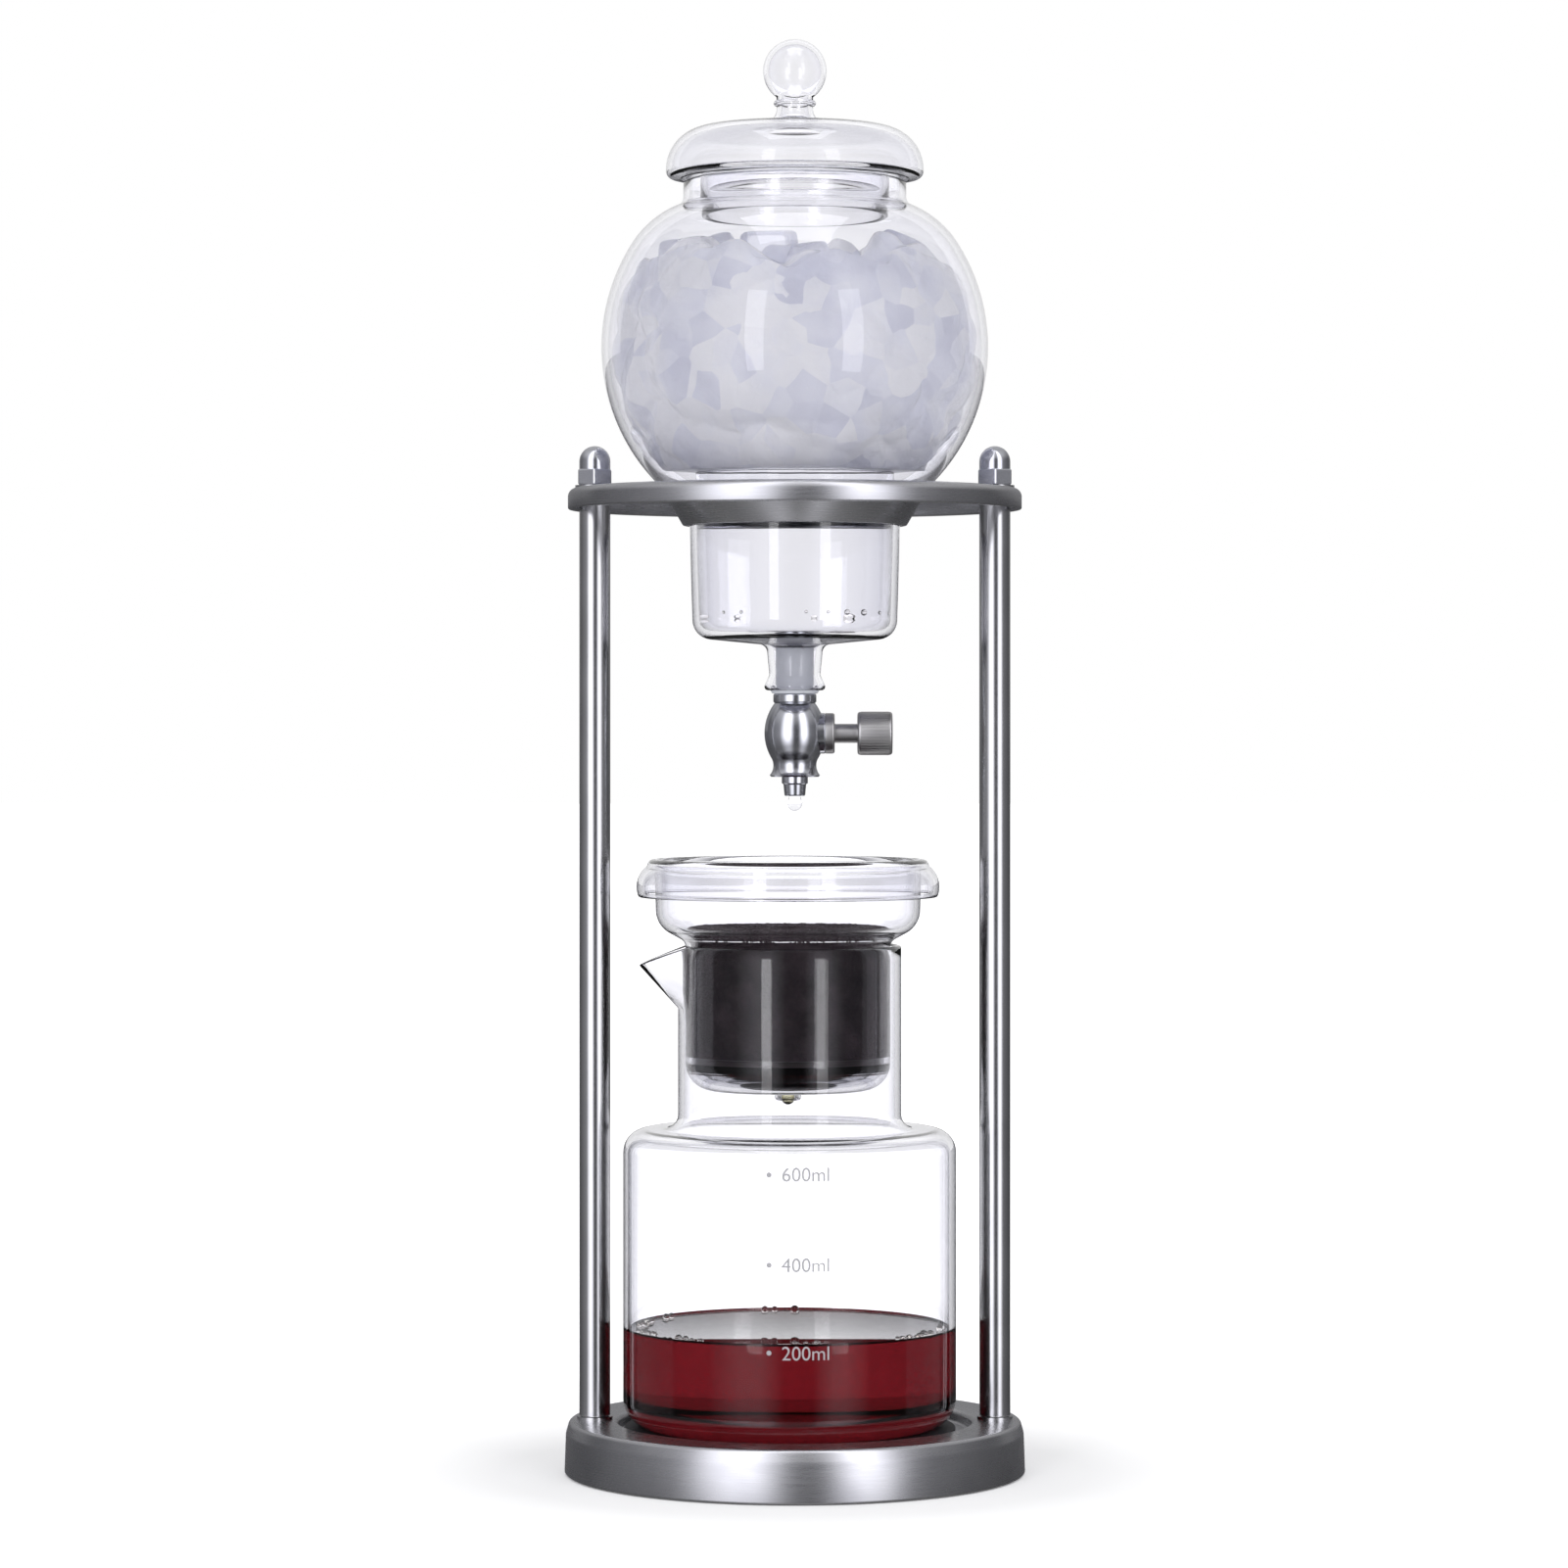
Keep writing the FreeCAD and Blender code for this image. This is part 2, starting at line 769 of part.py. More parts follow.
def carafe_glass():
    outside = [
        (0, mat_top),
        (carafe_radius, mat_top, carafe_foot_round),
        (carafe_radius, mat_top + carafe_shoulder_height, carafe_shoulder_round),
        (neck_radius, mat_top + carafe_shoulder_height, neck_foot_round),
        (neck_radius, carafe_rim)]
    shape = turned_sheet(rounded_run(outside), carafe_wall)
    neck_bore = rod(neck_radius - carafe_wall, carafe_rim - neck_height, carafe_rim + 1)
    beak = spout(0, 0).cut(neck_bore)
    return shape.fuse(beak).cut(spout(carafe_wall, spout_drop))


# Brew cup
def brew_cup():
    bore = cup_radius - cup_wall
    floor = cup_bottom + cup_wall
    bowl_bore = bowl_radius - cup_wall
    bowl_floor = cup_shoulder + cup_wall
    fold_middle = point(bowl_bore + bowl_rim_round, bowl_rim - bowl_rim_round)
    skirt_edge = point(skirt_radius, bowl_rim - skirt_depth)
    fold_start = fold_middle + point(bowl_rim_round, 0)
    chord = (fold_start + skirt_edge) * 0.5
    bulge = chord + point(skirt_bulge, skirt_bulge_lift)
    fold_end = point(bowl_bore, bowl_rim - bowl_rim_round)
    run = [
        arc(skirt_edge, bulge, fold_start),
        arc(fold_start, fold_middle + point(0, bowl_rim_round), fold_end)]
    run += rounded_run([
        (fold_end.x, fold_end.z),
        (bowl_bore - bowl_taper, bowl_floor + bowl_floor_rise, bowl_foot_round - cup_wall),
        (bore, bowl_floor, cup_join_round + cup_wall),
        (bore, floor, cup_foot_round - cup_wall),
        (nub_radius - cup_wall, floor - cup_foot_fall, nub_round),
        (nub_radius - cup_wall, cup_bottom - nub_length)])
    bead_place = point(0, bowl_rim - skirt_depth)
    bead = Part.makeTorus(skirt_radius - skirt_bead_out, skirt_bead_radius, bead_place)
    return turned_sheet(run, cup_wall).fuse(bead)


def filter_screen():
    bottom = cup_bottom + cup_wall + gasket_rise + gasket_height / 2
    radius = cup_radius - cup_wall - gasket_gap - gasket_width + screen_grip
    shape = rod(radius, bottom, bottom + screen_thickness)
    holes = [rod(screen_hole_radius, bottom, bottom + screen_thickness)]
    for ring_number in range(1, screen_hole_rings + 1):
        count = 6 * ring_number
        reach = screen_hole_spacing * ring_number
        for step in range(count):
            turn = 2 * math.pi * step / count
            holes.append(rod(screen_hole_radius, bottom, bottom + screen_thickness,
                             reach * math.cos(turn), reach * math.sin(turn)))
    return shape.cut(holes)


def filter_gasket():
    bore = cup_radius - cup_wall - gasket_gap
    bottom = cup_bottom + cup_wall + gasket_rise
    groove = bottom + gasket_height / 2
    shape = ring(bore, bore - gasket_width, bottom, bottom + gasket_height)
    foot = [edge for edge in edges_at_height(shape, bottom) if edge.Curve.Radius > bore - 1]
    shape = shape.makeChamfer(gasket_chamfer, foot)
    return shape.cut(rod(bore - gasket_width + screen_grip, groove, groove + screen_thickness))


# What the vessels hold
def ice_chunk_shape(turn, reach, height):
    """One tilted ice cube with round edges, its centre at reach from the axis."""
    half = ice_chunk / 2
    cube = Part.makeBox(ice_chunk, ice_chunk, ice_chunk, FreeCAD.Vector(-half, -half, -half))
    cube = cube.makeFillet(ice_chunk_round, cube.Edges)
    cube.rotate(origin, FreeCAD.Vector(1, 1, 0), 20 + 35 * math.sin(5 * turn))
    cube.rotate(origin, up, math.degrees(turn * 2))
    cube.translate(FreeCAD.Vector(reach * math.cos(turn), reach * math.sin(turn), height))
    return cube


def ice_mass():
    radius = globe_radius - globe_wall - ice_gap
    foot = outlet_lip + ice_foot_rise
    top = globe_centre + ice_top_rise
    foot_reach = math.sqrt(radius ** 2 - (globe_centre - foot) ** 2)
    top_reach = math.sqrt(radius ** 2 - ice_top_rise ** 2)
    mass = turned([
        line(point(0, foot), point(foot_reach, foot)),
        arc(point(foot_reach, foot), point(radius, globe_centre), point(top_reach, top)),
        line(point(top_reach, top), point(0, top)),
        line(point(0, top), point(0, foot))])
    chunks = [ice_chunk_shape(0.4, 0, top)]
    for step in range(ice_chunk_count):
        turn = 2 * math.pi * step / ice_chunk_count
        reach = ice_chunk_reach + 5 * math.sin(3.7 * step)
        chunks.append(ice_chunk_shape(turn, reach, top - ice_chunk_sink + 2 * math.sin(2.3 * step)))
    return mass.fuse(chunks).removeSplitter()


def coffee_grounds():
    bore = cup_radius - cup_wall - grounds_gap
    foot = cup_bottom + cup_wall + gasket_rise + gasket_height + grounds_gap
    top = cup_shoulder + grounds_rise
    heap = turned_corners([
        (0, foot),
        (bore, foot, 0),
        (bore, top - grounds_flare, 0),
        (grounds_spread - grounds_edge, top - grounds_edge, 0),
        (grounds_spread, top, 0),
        (0, top, 0)])
    hollow_foot = FreeCAD.Vector(-cup_shift, 0, top - hollow_depth)
    hollow = Part.makeCone(hollow_foot_radius, hollow_radius, hollow_depth, hollow_foot)
    return heap.cut(hollow)


# Building and export
carafe_pieces = (carafe_glass,)
cup_pieces = (brew_cup, filter_gasket, filter_screen, coffee_grounds)
fixed_pieces = (
    base_pan, ballast_plate, foot_pad, carafe_mat, post_left, post_right, post_foot_washers,
    post_spacers, post_screws, post_lock_washers, top_plate, top_studs, top_washers, acorn_nuts,
    ice_globe, outlet_stopper, valve_inlet_tube, inlet_collar, valve_body, valve_seat,
    drip_nozzle, packing_seal, packing_nut, valve_spindle, valve_knob, knob_set_screw, globe_lid, ice_mass)

os.makedirs("parts", exist_ok=True)
for pieces, shift in ((fixed_pieces, 0.0), (carafe_pieces, carafe_shift), (cup_pieces, cup_shift)):
    for make in pieces:
        shape = make()
        shape.translate(FreeCAD.Vector(shift, 0, 0))
        shape.exportStep("parts/" + make.__name__ + ".step")
        print(make.__name__, "valid", shape.isValid(), "solids", len(shape.Solids),
              "volume", round(shape.Volume, 1), "z", round(shape.BoundBox.ZMin, 2),
              round(shape.BoundBox.ZMax, 2), "x", round(shape.BoundBox.XMin, 2),
              round(shape.BoundBox.XMax, 2))
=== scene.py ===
import math

import bmesh
import bpy
from mathutils import Matrix, Vector, noise


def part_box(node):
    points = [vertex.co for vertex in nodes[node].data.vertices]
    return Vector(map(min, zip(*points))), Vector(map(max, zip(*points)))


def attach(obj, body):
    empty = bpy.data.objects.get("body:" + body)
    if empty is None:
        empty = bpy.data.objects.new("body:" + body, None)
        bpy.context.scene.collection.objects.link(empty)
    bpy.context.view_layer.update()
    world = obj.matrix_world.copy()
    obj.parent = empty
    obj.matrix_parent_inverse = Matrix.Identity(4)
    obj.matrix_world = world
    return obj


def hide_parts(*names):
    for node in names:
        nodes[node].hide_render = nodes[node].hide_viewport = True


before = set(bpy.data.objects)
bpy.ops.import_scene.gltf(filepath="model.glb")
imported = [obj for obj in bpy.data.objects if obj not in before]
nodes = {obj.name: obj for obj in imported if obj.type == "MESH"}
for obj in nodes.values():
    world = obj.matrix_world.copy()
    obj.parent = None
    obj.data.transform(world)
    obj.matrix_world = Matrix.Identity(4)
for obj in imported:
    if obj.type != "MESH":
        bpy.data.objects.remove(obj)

scene = bpy.context.scene
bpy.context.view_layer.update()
print("frame loaded:", len(nodes), "nodes")


# Sizes are in millimetres and become metres where a mesh is made
def mm(value):
    return value * 0.001


def lowOf(node):
    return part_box(node)[0].z * 1000


def topOf(node):
    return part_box(node)[1].z * 1000


def middleOf(node):
    low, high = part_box(node)
    return (low + high) * 500


def addObject(name, data):
    thing = bpy.data.objects.new(name, data)
    scene.collection.objects.link(thing)
    return thing


# Camera, level with the gap under the valve, as the photograph was taken
view = {
    "distance": 1630, "eyeHeight": 232.4, "lens": 122.1, "sensor": 36,
    "shiftX": -0.0069, "shiftY": -0.0453,
}
cameraData = bpy.data.cameras.new("Camera")
cameraData.lens = view["lens"]
cameraData.sensor_width = view["sensor"]
cameraData.shift_x = view["shiftX"]
cameraData.shift_y = view["shiftY"]
camera = addObject("Camera", cameraData)
camera.location = (0, -mm(view["distance"]), mm(view["eyeHeight"]))
camera.rotation_euler = (math.radians(90), 0, 0)
scene.camera = camera
scene.view_settings.view_transform = "Standard"


# Node helpers
def wire(tree, source, target):
    tree.links.new(source, target)


# A socket takes another node's output or a plain value
def feed(tree, node, inputs):
    for key, value in inputs.items():
        if isinstance(value, bpy.types.NodeSocket):
            wire(tree, value, node.inputs[key])
        else:
            node.inputs[key].default_value = value


def addNode(tree, kind, inputs=None, **settings):
    node = tree.nodes.new(kind)
    for key, value in settings.items():
        setattr(node, key, value)
    feed(tree, node, inputs or {})
    return node


def newMaterial(name):
    material = bpy.data.materials.new(name)
    material.use_nodes = True
    return material, material.node_tree, material.node_tree.nodes["Principled BSDF"]


def newGroup(name, inputs, outputs):
    group = bpy.data.node_groups.new(name, "ShaderNodeTree")
    for label, kind, default in inputs:
        socket = group.interface.new_socket(label, in_out="INPUT", socket_type=kind)
        if default is not None:
            socket.default_value = default
    for label, kind in outputs:
        group.interface.new_socket(label, in_out="OUTPUT", socket_type=kind)
    return group, addNode(group, "NodeGroupInput"), addNode(group, "NodeGroupOutput")


def placeGroup(tree, group, **values):
    coords = addNode(tree, "ShaderNodeTexCoord")
    return addNode(tree, "ShaderNodeGroup", {"Vector": coords.outputs["Object"], **values},
                   node_tree=group)


def maths(tree, operation, *values):
    node = addNode(tree, "ShaderNodeMath", dict(enumerate(values)), operation=operation)
    return node.outputs[0]


def vectors(tree, operation, *values):
    node = addNode(tree, "ShaderNodeVectorMath", dict(enumerate(values)), operation=operation)
    return node.outputs["Value" if operation == "LENGTH" else "Vector"]


def scaled(tree, vector, factor):
    node = addNode(tree, "ShaderNodeVectorMath", {0: vector, "Scale": factor}, operation="SCALE")
    return node.outputs["Vector"]


def splitVector(tree, vector):
    return addNode(tree, "ShaderNodeSeparateXYZ", {0: vector}).outputs


def joinVector(tree, *values):
    return addNode(tree, "ShaderNodeCombineXYZ", dict(enumerate(values))).outputs[0]


def noiseTexture(tree, vector, scale, detail=2.0):
    node = addNode(tree, "ShaderNodeTexNoise", {"Vector": vector, "Scale": scale, "Detail": detail})
    return node.outputs["Fac"]


def voronoi(tree, vector, size, feature="F1"):
    return addNode(tree, "ShaderNodeTexVoronoi", {"Vector": vector, "Scale": 1 / mm(size)},
                   feature=feature)


def spread(tree, factor, low, high, start=0.0, end=1.0):
    inputs = {"Value": factor, "From Min": start, "From Max": end, "To Min": low, "To Max": high}
    return addNode(tree, "ShaderNodeMapRange", inputs).outputs["Result"]


def bump(tree, shader, height, strength, distance):
    node = addNode(tree, "ShaderNodeBump",
                   {"Height": height, "Strength": strength, "Distance": distance})
    wire(tree, node.outputs["Normal"], shader.inputs["Normal"])


def ramp(tree, factor, stops):
    node = addNode(tree, "ShaderNodeValToRGB")
    elements = node.color_ramp.elements
    while len(elements) < len(stops):
        elements.new(0.5)
    for element, (place, colour) in zip(elements, stops):
        element.position = place
        element.color = (*colour, 1) if len(colour) == 3 else colour
    wire(tree, factor, node.inputs["Fac"])
    return node.outputs["Color"]


# Shared effects: turned or drawn lines on metal, and a speckle with wide clouds
lineNoise = {"scale": 3.0, "detail": 6.0, "patchScale": 45.0}
speckleNoise = {"cloudShare": 0.12, "cloudDetail": 3.0}


def turnedLinesGroup():
    group, start, end = newGroup(
        "turnedLines",
        [("Vector", "NodeSocketVector", None), ("Fineness", "NodeSocketFloat", 900.0),
         ("Length", "NodeSocketFloat", 3.0)],
        [("Lines", "NodeSocketFloat"), ("Patches", "NodeSocketFloat")])
    x, y, z = splitVector(group, start.outputs["Vector"])
    fineness = start.outputs["Fineness"]
    around = maths(group, "MULTIPLY", maths(group, "ARCTAN2", y, x), start.outputs["Length"])
    reach = maths(group, "SQRT", maths(group, "ADD", maths(group, "MULTIPLY", x, x),
                                       maths(group, "MULTIPLY", y, y)))
    unrolled = joinVector(group, around, maths(group, "MULTIPLY", reach, fineness),
                          maths(group, "MULTIPLY", z, fineness))
    lines = noiseTexture(group, unrolled, lineNoise["scale"], lineNoise["detail"])
    patches = noiseTexture(group, start.outputs["Vector"], lineNoise["patchScale"])
    feed(group, end, {"Lines": lines, "Patches": patches})
    return group


def speckleGroup():
    group, start, end = newGroup(
        "speckle",
        [("Vector", "NodeSocketVector", None), ("Scale", "NodeSocketFloat", 400.0),
         ("Detail", "NodeSocketFloat", 4.0)],
        [("Grain", "NodeSocketFloat"), ("Clouds", "NodeSocketFloat")])
    vector = start.outputs["Vector"]
    scale = start.outputs["Scale"]
    grain = noiseTexture(group, vector, scale, start.outputs["Detail"])
    clouds = noiseTexture(group, vector, maths(group, "MULTIPLY", scale, speckleNoise["cloudShare"]),
                          speckleNoise["cloudDetail"])
    feed(group, end, {"Grain": grain, "Clouds": clouds})
    return group


turnedLines = turnedLinesGroup()
speckle = speckleGroup()


# Where the dark and the light tone sit in each noise, and how far each bump stands out in metres
toneStops = {"steel": (0.35, 0.65), "grain": (0.3, 0.7)}
bumpDepth = {"steel": 0.00004, "grain": 0.0002, "glass": 0.0004, "ice": 0.0012}


def tones(kind, finish):
    return list(zip(toneStops[kind], (finish["dark"], finish["light"])))


def steel(name, finish):
    material, tree, shader = newMaterial(name)
    lines = placeGroup(tree, turnedLines, Fineness=finish["fineness"], Length=finish["length"])
    feed(tree, shader, {
        "Base Color": ramp(tree, lines.outputs["Patches"], tones("steel", finish)),
        "Roughness": spread(tree, lines.outputs["Lines"], *finish["roughness"]),
        "Metallic": 1})
    bump(tree, shader, lines.outputs["Lines"], finish["bump"], bumpDepth["steel"])
    return material


def grained(name, finish):
    material, tree, shader = newMaterial(name)
    grain = placeGroup(tree, speckle, Scale=finish["scale"])
    feed(tree, shader, {
        "Base Color": ramp(tree, grain.outputs["Clouds"], tones("grain", finish)),
        "Roughness": spread(tree, grain.outputs["Grain"], *finish["roughness"]),
        "Transmission Weight": finish.get("clear", 0)})
    depth = finish.get("depth", bumpDepth["grain"])
    bump(tree, shader, grain.outputs["Grain"], finish["bump"], depth)
    return material


# Glass whose base colour darkens from facing to grazing angles: a painted shade that draws dark outlines
# at the edges
def glass(name, finish):
    material, tree, shader = newMaterial(name)
    edge = addNode(tree, "ShaderNodeLayerWeight", {"Blend": finish["blend"]})
    ripples = placeGroup(tree, speckle, Scale=finish["rippleScale"])
    feed(tree, shader, {
        "Base Color": ramp(tree, edge.outputs["Facing"], finish["stops"]),
        "Roughness": 0, "IOR": finish["ior"], "Transmission Weight": 1})
    bump(tree, shader, ripples.outputs["Clouds"], finish["ripple"], bumpDepth["glass"])
    return material


finishes = {
    "brushedSteel": {"fineness": 900, "length": 2.2, "dark": (0.56, 0.56, 0.585),
                     "light": (0.66, 0.66, 0.68), "roughness": (0.23, 0.33), "bump": 0.1},
    "postSteel": {"fineness": 500, "length": 1.0, "dark": (0.6, 0.6, 0.61),
                  "light": (0.68, 0.68, 0.69), "roughness": (0.16, 0.24), "bump": 0.03},
    "chrome": {"fineness": 300, "length": 1.0, "dark": (0.66, 0.67, 0.72),
               "light": (0.74, 0.75, 0.79), "roughness": (0.14, 0.22), "bump": 0.02},
    "satinMetal": {"fineness": 700, "length": 5.0, "dark": (0.56, 0.55, 0.55),
                   "light": (0.66, 0.65, 0.64), "roughness": (0.3, 0.45), "bump": 0.15},
    "rawSteel": {"fineness": 600, "length": 4.0, "dark": (0.36, 0.36, 0.38),
                 "light": (0.48, 0.48, 0.5), "roughness": (0.35, 0.5), "bump": 0.3},
    "matRubber": {"scale": 900, "dark": (0.018, 0.018, 0.022), "light": (0.03, 0.03, 0.035),
                  "roughness": (0.5, 0.7), "bump": 0.3},
    "footRubber": {"scale": 700, "dark": (0.025, 0.025, 0.025), "light": (0.045, 0.045, 0.045),
                   "roughness": (0.6, 0.8), "bump": 0.3},
    "silicone": {"scale": 500, "dark": (0.66, 0.68, 0.74), "light": (0.74, 0.76, 0.82),
                 "roughness": (0.3, 0.45), "bump": 0.05, "clear": 0.1},
    "plastic": {"scale": 500, "dark": (0.8, 0.8, 0.78), "light": (0.88, 0.88, 0.86),
                "roughness": (0.35, 0.5), "bump": 0.05},
    "grounds": {"scale": 900, "dark": (0.03, 0.019, 0.025), "light": (0.07, 0.046, 0.057),
                "roughness": (0.45, 0.85), "bump": 0.9, "depth": 0.0006},
    "stainedSilicone": {"scale": 500, "dark": (0.03, 0.02, 0.022), "light": (0.05, 0.034, 0.036),
                        "roughness": (0.3, 0.45), "bump": 0.1},
    "ink": {"scale": 1500, "dark": (0.36, 0.36, 0.38), "light": (0.42, 0.42, 0.44),
            "roughness": (0.4, 0.6), "bump": 0.05},
}
# Each ramp runs from the facing colour to the grazing colour; the darker grazing colours are painted
# edge shade
glasses = {
    "clearGlass": {"blend": 0.5, "ior": 1.46, "ripple": 0.03, "rippleScale": 160,
                   "stops": [(0.0, (0.985, 0.983, 1.0)), (0.66, (0.93, 0.93, 0.97)),
                             (0.9, (0.45, 0.45, 0.5)), (1.0, (0.16, 0.16, 0.2))]},
    "water": {"blend": 0.5, "ior": 1.33, "ripple": 0.25, "rippleScale": 380,
              "stops": [(0.0, (0.97, 0.97, 1.0)), (0.8, (0.88, 0.88, 0.94)),
                        (1.0, (0.5, 0.5, 0.56))]},
    "coffee": {"blend": 0.5, "ior": 1.34, "ripple": 0.0, "rippleScale": 200,
               "stops": [(0.0, (0.11, 0.005, 0.008)), (0.6, (0.08, 0.004, 0.006)),
                         (1.0, (0.03, 0.002, 0.003))]},
    "darkCoffee": {"blend": 0.5, "ior": 1.34, "ripple": 0.0, "rippleScale": 200,
                   "stops": [(0.0, (0.03, 0.004, 0.004)), (1.0, (0.01, 0.0, 0.0))]},
    "bubble": {"blend": 0.5, "ior": 1.3, "ripple": 0.0, "rippleScale": 300,
               "stops": [(0.0, (1.0, 0.99, 0.97)), (0.7, (0.9, 0.87, 0.85)),
                         (1.0, (0.45, 0.3, 0.25))]},
    "paleDrop": {"blend": 0.5, "ior": 1.36, "ripple": 0.0, "rippleScale": 300,
                 "stops": [(0.0, (0.85, 0.82, 0.55)), (1.0, (0.35, 0.3, 0.12))]},
}
materials = {name: steel(name, finishes[name])
             for name in ("brushedSteel", "postSteel", "chrome", "satinMetal", "rawSteel")}
materials.update({name: grained(name, finishes[name])
                  for name in ("matRubber", "footRubber", "silicone", "plastic", "grounds", "ink",
                               "stainedSilicone")})
materials.update({name: glass(name, glasses[name]) for name in glasses})


# Ice: milky and clear in patches, with a tone for each lump and a painted glow (emission) for light
# inside
frost = {"ior": 1.31, "softReach": 0.006, "paintedGlowColour": (0.82, 0.83, 1, 1), "grainShare": 0.4}


def iceMaterial(name, finish):
    material, tree, shader = newMaterial(name)
    milk = placeGroup(tree, speckle, Scale=finish["scale"])
    coords = addNode(tree, "ShaderNodeTexCoord")
    lumps = voronoi(tree, coords.outputs["Object"], finish["lump"])
    lumpTone = splitVector(tree, lumps.outputs["Color"])[0]
    tone = maths(tree, "ADD", maths(tree, "MULTIPLY", lumpTone, finish["tone"]),
                 maths(tree, "MULTIPLY", milk.outputs["Clouds"], 1 - finish["tone"]))
    feed(tree, shader, {
        "Base Color": ramp(tree, tone, finish["stops"]),
        "Roughness": spread(tree, milk.outputs["Grain"], *finish["roughness"]),
        "IOR": frost["ior"], "Transmission Weight": finish["clear"],
        "Subsurface Weight": finish["soft"], "Subsurface Radius": (1, 1, 1),
        # Emission is a painted glow on the ice, standing in for light that shines through it
        "Subsurface Scale": frost["softReach"], "Emission Color": frost["paintedGlowColour"],
        "Emission Strength": finish["glow"]})
    dents = maths(tree, "ADD", lumps.outputs["Distance"],
                  maths(tree, "MULTIPLY", milk.outputs["Grain"], frost["grainShare"]))
    bump(tree, shader, dents, finish["bump"], bumpDepth["ice"])
    return material


# glow is the strength of the ice's painted glow (emission), which stands in for light shining through
ices = {
    "ice": {"scale": 420, "glow": 0.05, "clear": 0.25, "soft": 0.3, "roughness": (0.05, 0.25),
            "bump": 0.8, "lump": 9.0, "tone": 0.35,
            "stops": [(0.3, (0.74, 0.75, 0.84)), (0.46, (0.88, 0.89, 0.96)),
                      (0.62, (0.99, 0.99, 1.0))]},
    "clearIce": {"scale": 300, "glow": 0.06, "clear": 0.75, "soft": 0.0, "roughness": (0.02, 0.2),
                 "bump": 0.3, "lump": 9.0, "tone": 0.3,
                 "stops": [(0.4, (0.86, 0.87, 0.93)), (0.6, (0.97, 0.97, 1.0))]},
}
materials.update({name: iceMaterial(name, ices[name]) for name in ices})
print("materials ready:", len(materials))


# Outlines: lists of (radius, height) in millimetres
def arcPoints(centre, radius, startAngle, endAngle, count):
    points = []
    for step in range(count + 1):
        angle = math.radians(startAngle + (endAngle - startAngle) * step / count)
        points.append((centre[0] + radius * math.cos(angle), centre[1] + radius * math.sin(angle)))
    return points


def angleTo(centre, place):
    return math.degrees(math.atan2(place[1] - centre[1], place[0] - centre[0]))


def shortArc(centre, start, end, count):
    first = angleTo(centre, start)
    last = angleTo(centre, end)
    while last - first > 180:
        last -= 360
    while last - first < -180:
        last += 360
    return arcPoints(centre, math.dist(centre, start), first, last, count)


def roundedOutline(corners, count=8):
    points = [tuple(corners[0][:2])]
    for before, corner, after in zip(corners, corners[1:], corners[2:]):
        place = Vector(corner[:2])
        size = corner[2] if len(corner) > 2 else 0
        if size == 0:
            points.append(tuple(place))
            continue
        back = (Vector(before[:2]) - place).normalized()
        ahead = (Vector(after[:2]) - place).normalized()
        half = back.angle(ahead) / 2
        centre = place + (back + ahead).normalized() * (size / math.sin(half))
        enter = place + back * (size / math.tan(half))
        leave = place + ahead * (size / math.tan(half))
        points += shortArc(tuple(centre), tuple(enter), tuple(leave), count)
    points.append(tuple(corners[-1][:2]))
    return points


def cleanOutline(points):
    kept = [points[0]]
    for place in points[1:]:
        if math.dist(place, kept[-1]) > 1e-4:
            kept.append(place)
    return kept


def offsetOutline(points, distance):
    moved = []
    for index, place in enumerate(points):
        before = Vector(points[max(index - 1, 0)])
        after = Vector(points[min(index + 1, len(points) - 1)])
        here = Vector(place)
        sides = []
        for start, end in ((before, here), (here, after)):
            if (end - start).length > 1e-6:
                along = (end - start).normalized()
                sides.append(Vector((-along.y, along.x)))
        normal = sum(sides, Vector((0, 0))).normalized()
        stretch = 1 / max(normal.dot(sides[0]), 0.5)
        moved.append(tuple(here + normal * distance * stretch))
    return moved


# Half a round rim from one side of a wall to the other, bulging ahead
def roundEnd(start, end, ahead, count=6):
    first, last = Vector(start), Vector(end)
    middle = (first + last) / 2
    side = first - middle
    reach = Vector(ahead).normalized() * side.length
    points = []
    for step in range(1, count):
        angle = math.pi * step / count
        points.append(tuple(middle + side * math.cos(angle) + reach * math.sin(angle)))
    return points


# A closed outline for a wall of even thickness, which lies left of the run where wall > 0
def wallOutline(outer, wall):
    outer = cleanOutline(outer)
    inner = [(max(place[0], 0), place[1]) for place in offsetOutline(outer, wall)]
    closed = list(outer)
    if outer[-1][0] > 0.01:
        ahead = Vector(outer[-1]) - Vector(outer[-2])
        closed += roundEnd(outer[-1], inner[-1], ahead)
    closed += list(reversed(inner))
    if outer[0][0] > 0.01:
        ahead = Vector(outer[0]) - Vector(outer[1])
        closed += roundEnd(inner[0], outer[0], ahead)
    return closed + [closed[0]]


# Geometry Nodes helpers
def newTree(name, sockets):
    tree = bpy.data.node_groups.new(name, "GeometryNodeTree")
    tree.interface.new_socket("Geometry", in_out="INPUT", socket_type="NodeSocketGeometry")
    for label, kind, default in sockets:
        socket = tree.interface.new_socket(label, in_out="INPUT", socket_type=kind)
        if default is not None:
            socket.default_value = default
    tree.interface.new_socket("Geometry", in_out="OUTPUT", socket_type="NodeSocketGeometry")
    return tree, addNode(tree, "NodeGroupInput"), addNode(tree, "NodeGroupOutput")


def finishTree(tree, geometry, start, end):
    paint = addNode(tree, "GeometryNodeSetMaterial",
                    {"Geometry": geometry, "Material": start.outputs["Material"]})
    wire(tree, paint.outputs["Geometry"], end.inputs["Geometry"])


def repeatShape(tree, points, shape, **inputs):
    put = addNode(tree, "GeometryNodeInstanceOnPoints",
                  {"Points": points, "Instance": shape, **inputs})
    real = addNode(tree, "GeometryNodeRealizeInstances", {"Geometry": put.outputs["Instances"]})
    return real.outputs["Geometry"]


